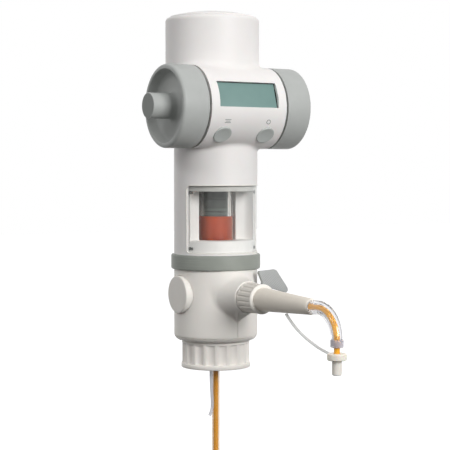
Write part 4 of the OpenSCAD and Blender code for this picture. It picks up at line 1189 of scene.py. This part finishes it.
def curved_panel(name: str, columns: Sequence[tuple[float, float, float]], r0: float,
                 r1: float, material: bpy.types.Material) -> bpy.types.Object:
    """A panel bent round the column between two radii, one column at a time."""
    verts, faces = [], []
    for a, low, high in columns:
        for r, z in ((r0, low), (r0, high), (r1, high), (r1, low)):
            verts.append((r * math.sin(a), -r * math.cos(a), z))
    count = len(columns)
    for i in range(count - 1):
        for k in range(4):
            n = (k + 1) % 4
            faces.append([4 * i + k, 4 * i + n, 4 * i + 4 + n, 4 * i + 4 + k])
    faces.append([0, 1, 2, 3])
    faces.append([4 * (count - 1) + k for k in (3, 2, 1, 0)])
    return finish_mesh(name, verts, faces, material, 40)


@dataclass
class Window:
    """The clear cover with its clips and rim, the carrier, the glass barrel and its liquid."""

    kit: Kit

    def build(self) -> None:
        """Makes the window's pieces."""
        cover = curved_panel("window_pane", window_columns(-0.12, 2.9), 31.1, 32.55,
                             self.kit.mat(COVER))
        self.kit.fix(cover, Body.HEAD, "clear_cover", "window_cover")
        self._rim()
        self._clips()
        self._carrier()
        self._barrel()

    def _rim(self) -> None:
        """A pale bead round the window."""
        columns = window_columns(0.25, 3.2)
        loop = [(a, low) for a, low, _ in columns] + [(a, high) for a, _, high in
                                                      reversed(columns)]
        r = D.column_r - 0.15
        rim = swept("window_rim", [(r * math.sin(a), -r * math.cos(a), z) for a, z in loop], 0.42,
                    self.kit.mat(CREAM), side=(0.02, 0.01, 1), sides=8, closed=True)
        self.kit.fix(rim, Body.HEAD, "white_moulding")

    def _clips(self) -> None:
        """Four small dark catches in the window's corners."""
        parts = []
        for side in (-1, 1):
            for z in (92.7, 135.8):
                middle = math.radians(-69.0 if side < 0 else 50.0)
                for part, (off, width, drop) in enumerate(((-1.0, 0.9, 2.2), (0.9, 0.8, 1.8))):
                    low = middle + (off - width / 2) / 30.8
                    high = middle + (off + width / 2) / 30.8
                    parts.append(curved_panel(
                        f"clip_{side}_{z}_{part}",
                        [(low, z, z + drop), ((low + high) / 2, z - 0.1, z + drop + 0.1),
                         (high, z, z + drop)], 29.95, 31.05, self.kit.mat(CLIP)))
        clips = joined("window_catches", parts)
        self.kit.fix(clips, Body.HEAD, "seal_rubber", "cover_clips")

    def _carrier(self) -> None:
        """Sill, top bar, side panels and trough round the barrel; the top bar is a darker grey as
        painted shade.
        """
        parts = [lathe(f"carrier_{name}", rect(13.6, 29.9, low, high, corner),
                       self.kit.mat(finish), segments=segments)
                 for name, low, high, corner, segments, finish in (
                     ("sill", 90.5, 99.5, 0.5, 128, CARRIER),
                     # the top bar takes the darker grey finish: painted shade
                     ("bar", 137.5, 144.4, 0.5, 128, SHADED_BAR),
                     ("head", 163.6, D.barrel_top, 0.4, 96, CARRIER))]
        parts += [prism(f"carrier_wall_{low:.0f}", self._plan(), (low, high), as_given,
                        self.kit.mat(CARRIER)) for low, high in ((99.0, 138.0), (144.0, 164.0))]
        carrier = joined("barrel_frame", parts)
        self.kit.fix(carrier, Body.HEAD, "carrier_white", "barrel_carrier")

    @staticmethod
    def _plan() -> list[Point2]:
        """The side panels, curled to the front, and the trough behind the barrel, from above."""
        front = [(23.5 + 4.9 * t, -3.0 - 5.3 * t * t) for t in (1.0, 0.8, 0.6, 0.4, 0.2, 0.0)]
        front += arc(17.3, -2.2, 0.8, 270, 180, 4) + [(16.5, 0.0)]
        back = [(28.9, -6.6), (26.6, -2.9), (24.2, -0.8), (18.9, -0.6)]
        inner = arc(0, 0, 16.5, 10, 170, 40)
        outer = arc(0, 0, 18.9, 170, 10, 40)
        mirrored = [(-x, y) for x, y in reversed(front)]
        return front + inner + mirrored + [(-x, y) for x, y in back] + outer + back[::-1]

    def _barrel(self) -> None:
        """Glass barrel, seal, liquid and piston."""
        foot = D.barrel_z
        self.kit.turn("glass_cylinder", rect(9.94, 13.5, foot, D.barrel_top, 0.4), GLASS,
                      Body.HEAD, "barrel_glass", "glass_barrel", segments=128)
        self.kit.turn("barrel_gasket", rect(10.5, 13.3, 87.5, foot, 0.3), RUBBER, Body.HEAD,
                      "seal_rubber", "barrel_seal", segments=96)
        # 0.02 mm into the glass: with an air gap the tube's magnification would be lost.
        rows = [(9.96, 89.05 + (D.piston_z - 89.1) * k / 12) for k in range(13)]
        liquid = lathe("barrel_liquid", [(0, 89.05)] + rows + [(0, D.piston_z - 0.05)],
                       self.kit.mat(LIQUID), segments=96)
        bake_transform(liquid)
        self._piston()

    def _piston(self) -> None:
        """Piston head with grooves, lips, and the rod with its rack."""
        z = D.piston_z
        outline = [(0, z, 0), (9.4, z, 0.3), (9.7, z + 0.4), (9.7, z + 1.5), (8.9, z + 1.5),
                   (8.9, z + 3.0), (9.7, z + 3.0), (9.7, z + 4.5), (8.9, z + 4.5),
                   (8.9, z + 6.0), (9.7, z + 6.0), (9.7, z + 12.8), (9.35, z + 13.1),
                   (9.35, z + 13.9), (9.7, z + 14.2), (9.7, z + 19.6), (9.3, z + 20.0),
                   (0, z + 20, 0)]
        self.kit.turn("piston_plug", fillet(outline, 0.12, 2), PISTON, Body.PISTON,
                      "piston_grey", "piston_head", segments=96)
        lips = joined("piston_seals", [
            lathe(f"lip_{k}", rect(8.85, 9.93, z + k * 1.5 + 0.05, z + k * 1.5 + 1.45, 0.35),
                  self.kit.mat(LIP), segments=96) for k in (1, 3)])
        self.kit.fix(lips, Body.PISTON, "lip_polymer", "piston_lips")
        self.kit.dress(ROD, "piston_rod")


@dataclass
class Head:
    """Column, drum and cap in one skin, with the lid, the lip rings and the display."""

    kit: Kit

    @staticmethod
    def _shape(p: np.ndarray) -> np.ndarray:
        """The head's distance field."""
        column = rod_field(p, (0, 0), D.column_r, 70.0, 205.0)
        drum = rod_field(p, (D.drum_y, D.drum_z), D.drum_r, -38.0, 38.0, 0)
        cap = rod_field(p, (0, D.cap_y), D.cap_r, 165.0, D.cap_z, 2, 3.0)
        radial = np.hypot(p[:, 0], p[:, 1] - D.cap_y)
        cone = (radial - 26.0 - (p[:, 2] - 172.5) * 10.6 / 8.5) * 0.6255
        cap = np.maximum(cap, cone)
        return soft_union(soft_union(column, drum, 2.6), cap, 4.5)

    def build(self) -> None:
        """Makes the head's pieces."""
        mat = self.kit.mat(WHITE)
        drum, cap = (0, D.drum_y, D.drum_z), (0, D.cap_y, 0)
        seeds = [
            cylinder(32.6, 70, 205, mat, segments=128),
            cylinder(31.5, -38, 38, mat, Axis.RIGHT, drum, 128),
            lathe("seed_cap", [(0, 172.5), (26, 172.5), (36.6, 181), (36.6, 269.4), (34, 272.2),
                               (0, 272.4)], mat, origin=cap, segments=128)]
        shell = field_piece("head_moulding", seeds, self._shape, 1.25, mat)
        half = D.drum_half - 2.5
        cavity = cylinder(D.cap_r - D.wall, 183, 270, mat, origin=cap, segments=96)
        carve(cavity, [prism("keep", rect(-PAST, PAST, 150, 300), (-half, half),
                             lambda u, v, w: (w, u, v), mat)], "INTERSECT")
        cutters = [
            cylinder(PAST, 60, D.column_z, mat),  # foot
            cylinder(32.3, 33, 80, mat, Axis.RIGHT, drum, 192),  # drum's ends
            cylinder(32.3, 33, 80, mat, Axis.LEFT, drum, 192),
            lathe("cut_bore", [(0, 80), (25.9, 80), (25.9, 90.52), (D.inner_r, 90.52),
                               (D.inner_r, 200), (0, 200)], mat, segments=128),
            cylinder(29.1, -40, 40, mat, Axis.RIGHT, drum, 96),
            cavity,
            cylinder(31.4, 268, 280, mat, origin=cap, segments=96),  # lid's seat
            curved_panel("cut_window", window_columns(0.0, 3.0), 26.0, 40.0, mat),
            self._drum_prism("cut_display", 0, D.display_angle, 26.0, 10.0, 0.5, 23.0, 40.0),
        ]
        cutters += [on_drum(cylinder(7.52, 20, 40, mat), -D.button_angle, side * 19.0)
                    for side in (-1, 1)]
        carve(shell, cutters)
        reshade(shell, 35)
        self.kit.fix(shell, Body.HEAD, "white_moulding", "head_shell")
        self.kit.turn("column_neck", rect(25.9, 29.8, 82.82, 88.7), WHITE, Body.HEAD,
                      "white_moulding", segments=96)
        self._lip_rings()
        self._lid()
        self._display()
        self._buttons()
        self.kit.dress(WHITE, "end_plates")

    def _drum_prism(self, name: str, x: float, angle: float, half_w: float, half_h: float,
                    corner: float, low: float, high: float,
                    finish: Finish = WHITE, bevel: float = 0.0) -> bpy.types.Object:
        """A rounded block that stands on the drum, along its normal."""
        block = prism(name, rect(-half_w, half_w, -half_h, half_h, corner), (low, high), as_given,
                      self.kit.mat(finish), bevel)
        return on_drum(block, angle, x)

    def _lip_rings(self) -> None:
        """The bright rounded lip at each end of the drum."""
        for name, axis in (("left", Axis.LEFT), ("right", Axis.RIGHT)):
            self.kit.turn(f"drum_lip_{name}", rect(30.4, 31.45, 32.2, 33.0, 0.35), WHITE,
                          Body.HEAD, "white_moulding", axis=axis,
                          origin=(0, D.drum_y, D.drum_z), segments=192)

    def _lid(self) -> None:
        """The domed lid with a thin joint line round it."""
        edge, crown = 33.4, 4.3
        big = (edge * edge + crown * crown) / (2 * crown)
        top = D.cap_z + 5.1
        dome = arc(0, top - big, big, math.degrees(math.acos((edge - 0.4) / big)), 90, 24)
        dome[-1] = (0, top)
        outline = [(0, D.cap_z + 1.0), (28.9, D.cap_z - 1.0), (28.9, D.cap_z - 2.4),
                   (31.3, D.cap_z - 2.4), (31.3, D.cap_z + 0.02), (33.3, D.cap_z + 0.02),
                   (33.45, D.cap_z + 0.3)]
        self.kit.turn("battery_lid", outline + dome, WHITE, Body.LID, "white_moulding", "top_lid",
                      origin=(0, D.cap_y, 0), segments=192)

    def _display(self) -> None:
        """The liquid crystal panel, blank, with black strips along its edges as painted shadow of
        the recess, widest at the top and right.
        """
        panel = self._drum_prism("display_panel", 0, D.display_angle, 25.7, 9.7, 0.4, 26.0, 28.2,
                                 LCD, 0.15)
        self.kit.fix(panel, Body.HEAD, "lcd_film", "lcd_panel")
        # black strips over the panel's edges are painted shadow from the recess's walls, widest at
        # the top and right
        parts = [on_drum(prism("shadow_strip", rect(u - w, u + w, v - h, v + h), (27.6, 28.5),
                               as_given, self.kit.mat(BLACK)), D.display_angle, 0)
                 for u, v, w, h in ((0, 9.72, 25.8, 0.22), (0, -9.8, 25.8, 0.12),
                                    (25.72, 0, 0.22, 9.8), (-25.78, 0, 0.14, 9.8))]
        edge = joined("display_shadow_strips", parts)
        self.kit.fix(edge, Body.HEAD, "switch_black")
        self._pictograms()

    def _pictograms(self) -> None:
        """A small generic sign over each button: three bars, and an open ring."""
        mat = self.kit.mat(MARK)
        middle = 21.5 - D.button_angle
        parts = [on_drum(prism(f"bar_{k}", rect(-half, half, -0.22, 0.22), (31.42, 31.56),
                               as_given, mat), middle + 2.1 * (k - 1), -18.0)
                 for k, half in enumerate((2.6, 2.0, 2.6))]
        parts.append(on_drum(lathe("zero", rect(1.4, 1.85, 31.35, 31.56), mat, segments=32),
                             middle, 18.0))
        signs = joined("button_signs", parts)
        self.kit.fix(signs, Body.HEAD, "wheel_grey")

    def _buttons(self) -> None:
        """Two grey keys with shallow hollow faces."""
        for side, body, node in ((-1, Body.MODE, "mode_button"), (1, Body.CLEAR, "clear_button")):
            r = D.button_r
            outline = [(0, 25.2), (r + 1.2, 25.2), (r + 1.2, 27.2), (r, 27.2), (r, 31.5)]
            outline += arc(r - 0.7, 31.45, 0.7, 10, 90, 5)
            outline += [(5.5, 31.95), (3.0, 31.75), (0, 31.68)]
            key = lathe(f"key_{node.split('_')[0]}", outline, self.kit.mat(BUTTON), segments=96)
            on_drum(key, -D.button_angle, side * 19.0)
            self.kit.fix(key, body, "wheel_grey", node)


def drum_frame(angle: float, x: float) -> Matrix:
    """Metre matrix from a local frame on the drum, +Z its outward normal."""
    turn = Matrix.Rotation(math.radians(90 - angle), 4, "X")
    centre = Matrix.Translation(Vector((0, D.drum_y, D.drum_z)) * MM)
    return centre @ turn @ Matrix.Translation((x * MM, 0, 0))


def on_drum(obj: bpy.types.Object, angle: float, x: float) -> bpy.types.Object:
    """Lays a piece made at the origin on the drum."""
    obj.data.transform(drum_frame(angle, x))
    return obj


@dataclass
class Wheels:
    """The two hand wheels with their finger knobs."""

    kit: Kit

    def build(self) -> None:
        """Makes both wheels."""
        for side, axis in (("left", Axis.LEFT), ("right", Axis.RIGHT)):
            self._wheel(side, axis)
        self.kit.dress(STEEL, "wheel_shaft")

    def _wheel(self, side: str, axis: Axis) -> None:
        """One wheel, turned from its section; its knob's flat end takes a darker grey as painted
        shade.
        """
        x0 = D.drum_half + 0.4
        rim = x0 + 23.1
        dish = rim - 9.0
        end = rim + 13.5
        outline = [(3.05, x0), (9.7, x0), (9.7, dish - 3), (23.3, dish - 3), (28.9, dish - 5),
                   (28.9, x0 + 0.1), (29.0, x0), (29.2, x0), (29.3, x0 + 1.5)]
        outline += arc(31.0, x0 + 2.0, 0.5, -85, 0, 4)
        outline += arc(29.1, rim - 2.4, 2.4, 0, 80, 9)
        outline += arc(28.3, rim - 0.6, 0.6, 90, 165, 5)
        outline += [(27.15, rim - 1.9), (25.9, dish + 2.6), (24.6, dish + 1.2), (22.6, dish + 0.5),
                    (14.7, dish)]
        outline += arc(13.7, dish + 4.0, 4.0, 270, 183, 10)
        outline += [(9.66, end - 1.4)] + arc(9.0, end - 0.7, 0.7, 0, 80, 5)
        outline += [(8.6, end), (0, end), (0, end - 11.9), (3.05, end - 11.9)]
        wheel = lathe(f"hand_wheel_{side}", outline, self.kit.mat(GREY), axis,
                      (0, D.drum_y, D.drum_z), 224, sharp=45)
        # the knob's flat end gets the darker grey: painted shade
        wheel.data.materials.append(self.kit.mat(GREY_SHADE))
        for flat in wheel.data.polygons:
            if abs(flat.center.x) > (end - 0.02) * MM:
                flat.material_index = 1
        self.kit.fix(wheel, Body.WHEELS, "wheel_grey", f"wheel_{side}")


@dataclass
class Nozzle:
    """Outlet nut, collar ring, cone, clear elbow with its tube, tip fitting and cap."""

    kit: Kit
    ribs: int = 18

    def _rib(self, angle: float) -> float:
        """Depth of the nut's grooves at an angle."""
        t = (angle / TAU * self.ribs) % 1.0
        return 0.8 * max(0.0, math.cos(TAU * (t - 0.5))) ** 1.1

    def build(self) -> None:
        """Makes the nozzle's pieces."""
        front = {"axis": Axis.FRONT, "origin": (0, 0, D.outlet_z)}
        ribbed = [(7.46, 48.8), (11.0, 48.8), (11.35, 49.0), (11.55, 49.5), (11.6, 50.2),
                  (11.6, 50.5, 0.0), (11.58, 51.1, 0.7), (11.5, 52.0, 1.0), (11.2, 57.5, 1.0),
                  (10.95, 62.5, 1.0), (10.85, 64.0, 1.0), (10.8, 65.0, 0.75), (10.75, 65.7, 0.3),
                  (10.7, 66.0, 0.0), (10.5, 66.4), (7.46, 66.4)]
        self.kit.turn("union_nut", ribbed, NUT, Body.NUT, "white_moulding", "outlet_nut",
                      segments=self.ribs * 16, relief=self._rib, **front)
        ring = fillet([(7.4, 66.7, 0), (11.0, 66.7), (11.3, 67.3), (10.5, 68.2),
                       (7.4, 68.2, 0)], 0.3)
        self.kit.turn("cone_ring", ring, CREAM, Body.HEAD, "white_moulding", "nozzle_collar",
                      **front)
        cone = [(2.3, 68.25), (8.5, 68.25), (8.8, 68.6)]
        cone += [(8.8 - 3.0 * t, 68.6 + 61.9 * t) for t in (0.1, 0.25, 0.4, 0.55, 0.7, 0.85, 1.0)]
        cone += [(5.65, 131.0), (5.35, 131.28), (4.4, 131.28), (4.25, 131.1), (4.25, 128.3),
                 (2.3, 128.3)]
        self.kit.turn("nozzle_cone", cone, SLEEVE, Body.HEAD, "white_moulding", "nozzle_sleeve",
                      **front)
        self._elbow()
        self._tip()
        self.kit.dress(PTFE, "outlet_stem", "valve_block", "lever_spindle")
        self.kit.dress(CERAMIC, "suction_ball", "discharge_ball")

    @staticmethod
    def _route(start: float, low: float, step: float = 3.0) -> list[Point3]:
        """The elbow's centre line from a distance in front to a height."""
        bend = D.nozzle_y - D.bend_r
        turn = D.outlet_z - D.bend_r
        count = int(90 / step)
        points = [(0, -start, D.outlet_z), (0, -(start + bend) / 2, D.outlet_z)]
        points += [(0, -bend - D.bend_r * math.sin(math.radians(step * k)),
                    turn + D.bend_r * math.cos(math.radians(step * k))) for k in range(count + 1)]
        return points + [(0, -D.nozzle_y, (turn + low) / 2), (0, -D.nozzle_y, low)]

    def _elbow(self) -> None:
        """The clear elbow, its thick wall, and the amber tube inside."""
        route = self._route(128.4, D.fitting_z + 1.25)
        elbow = swept("clear_elbow", route,
                      lambda t: 4.15 if t < 0.02 else 5.3 - 1.5 * min(1.0, t * 1.08),
                      self.kit.mat(ELBOW), sides=40, hole=2.45)
        self.kit.fix(elbow, Body.HEAD, "clear_cover", "nozzle_elbow")
        rim = fillet([(2.2, 130.9), (5.38, D.sleeve_end), (5.42, 132.6), (2.2, 131.8)], 0.2)
        self.kit.turn("elbow_rim", rim, CREAM, Body.HEAD, "clear_cover", axis=Axis.FRONT,
                      origin=(0, 0, D.outlet_z), segments=96)
        inner = self._route(30.0, D.tip_z + 0.1)
        tube = swept("amber_line", inner, 2.12, self.kit.mat(AMBER), sides=32)
        self.kit.fix(tube, Body.HEAD, "amber_tube", "dispensing_tube")

    def _tip(self) -> None:
        """The fitting at the elbow's end and the cap on the tip."""
        z, f, spot = D.fitting_z, D.flange_z, (0, -D.nozzle_y, 0)
        fitting = fillet([(2.2, z), (4.2, z), (4.6, z + 0.4), (4.6, z + 4.9), (4.3, z + 5.3),
                          (4.02, z + 5.3), (4.02, z + 1.2), (2.2, z + 1.2)], 0.2)
        self.kit.turn("tip_collar", fitting, FITTING, Body.HEAD, "white_moulding", "tip_fitting",
                      origin=spot, segments=96)
        outline = fillet([(2.22, f, 0.2), (6.3, f), (6.8, f - 0.5), (6.8, f - 4.2),
                          (6.3, f - 4.7), (3.4, f - 4.7, 0.5), (3.4, f - 14.4), (2.9, f - 15.0),
                          (0, f - 15.0, 0), (0, f - 10.2, 0), (2.22, f - 10.2, 0.1)], 0.3, 4)
        cap = lathe("tip_stopper", outline, self.kit.mat(FOGGED), origin=spot, segments=96)
        cap.data.materials.append(self.kit.mat(TIP))
        for face in cap.data.polygons:
            if face.center.z < (f - 4.9) * MM:
                face.material_index = 1
        self.kit.fix(cap, Body.TIP_CAP, "white_moulding", "tip_cap")


@dataclass
class Lever:
    """The valve lever with its knurled plate."""

    kit: Kit

    def build(self) -> None:
        """Makes the lever."""
        outline = fillet([(-2.6, 0.6, 1.0), (-0.6, -2.2, 1.4), (2.6, -0.4, 1.0), (3.6, 4.6, 0.8),
                          (7, 3.2, 1.0), (20.8, -0.9, 1.2), (22.6, 0.6, 1.6), (22.0, 3.4, 2.0),
                          (11.8, 17.0, 1.8), (9.8, 17.7, 0.8), (-3.6, 16.8, 0.8), (-4.5, 15.2, 0.5),
                          (-1.2, 8.2, 1.0)], 1.0, 5)
        plate = prism("lever_plate", [(D.lever_x + u, D.lever_z + v) for u, v in outline],
                      (33.4, 36.4), to_front, self.kit.mat(LEVER), 0.45)
        hub = lathe("lever_hub", fillet([(0, 31.4, 0), (3.6, 31.4), (3.6, 36.3), (0, 36.3, 0)],
                                        0.5), self.kit.mat(GREY), Axis.FRONT,
                    (D.lever_x, 0, D.lever_z), 64)
        lever = joined("valve_lever_plate", [plate, hub])
        self.kit.fix(lever, Body.LEVER, "lever_grey", "valve_lever")


@dataclass
class Tubes:
    """The filling tube, full of amber liquid."""

    kit: Kit

    def build(self) -> None:
        """Makes the filling tube."""
        hose = [(2.0, -196.0), (2.9, -196.0), (3.0, -195.8), (3.0, 24.5), (2.0, 24.5)]
        self.kit.turn("filling_hose", hose, TUBE_SKIN, Body.HEAD, "amber_tube", "filling_tube",
                      segments=64)
        rows = [(1.97, -195.5 + 219.5 * k / 40) for k in range(41)]
        self.kit.turn("filling_liquid", [(0, -195.5)] + rows + [(0, 24.0)], AMBER, Body.HEAD,
                      "amber_tube", segments=48)


@dataclass
class Inside:
    """The carried-over parts of the drive and the electronics."""

    kit: Kit

    def build(self) -> None:
        """Gives them their finishes."""
        for finish, nodes in (
                (BRONZE, ("shaft_bushes",)),
                (ACETAL, ("shaft_pinion", "reduction_gear", "rack_pinion")),
                (STEEL, ("gear_shaft",)), (FRAME, ("gear_bracket",)),
                (BOARD, ("display_board", "key_board", "encoder_sensor")),
                (BLACK, ("key_switches", "encoder_disc", "battery_holder")),
                (CELL, ("batteries",))):
            self.kit.dress(finish, *nodes)


def main() -> None:
    """Builds the scene."""
    logging.basicConfig(level=logging.INFO)
    Studio().build()
    kit = Kit(Shader())
    for part in (Cords, Collar, Housing, Window, Head, Wheels, Nozzle, Lever, Tubes, Inside):
        part(kit).build()
        LOG.info("%s done", part.__name__)


if __name__ == "__main__":
    main()
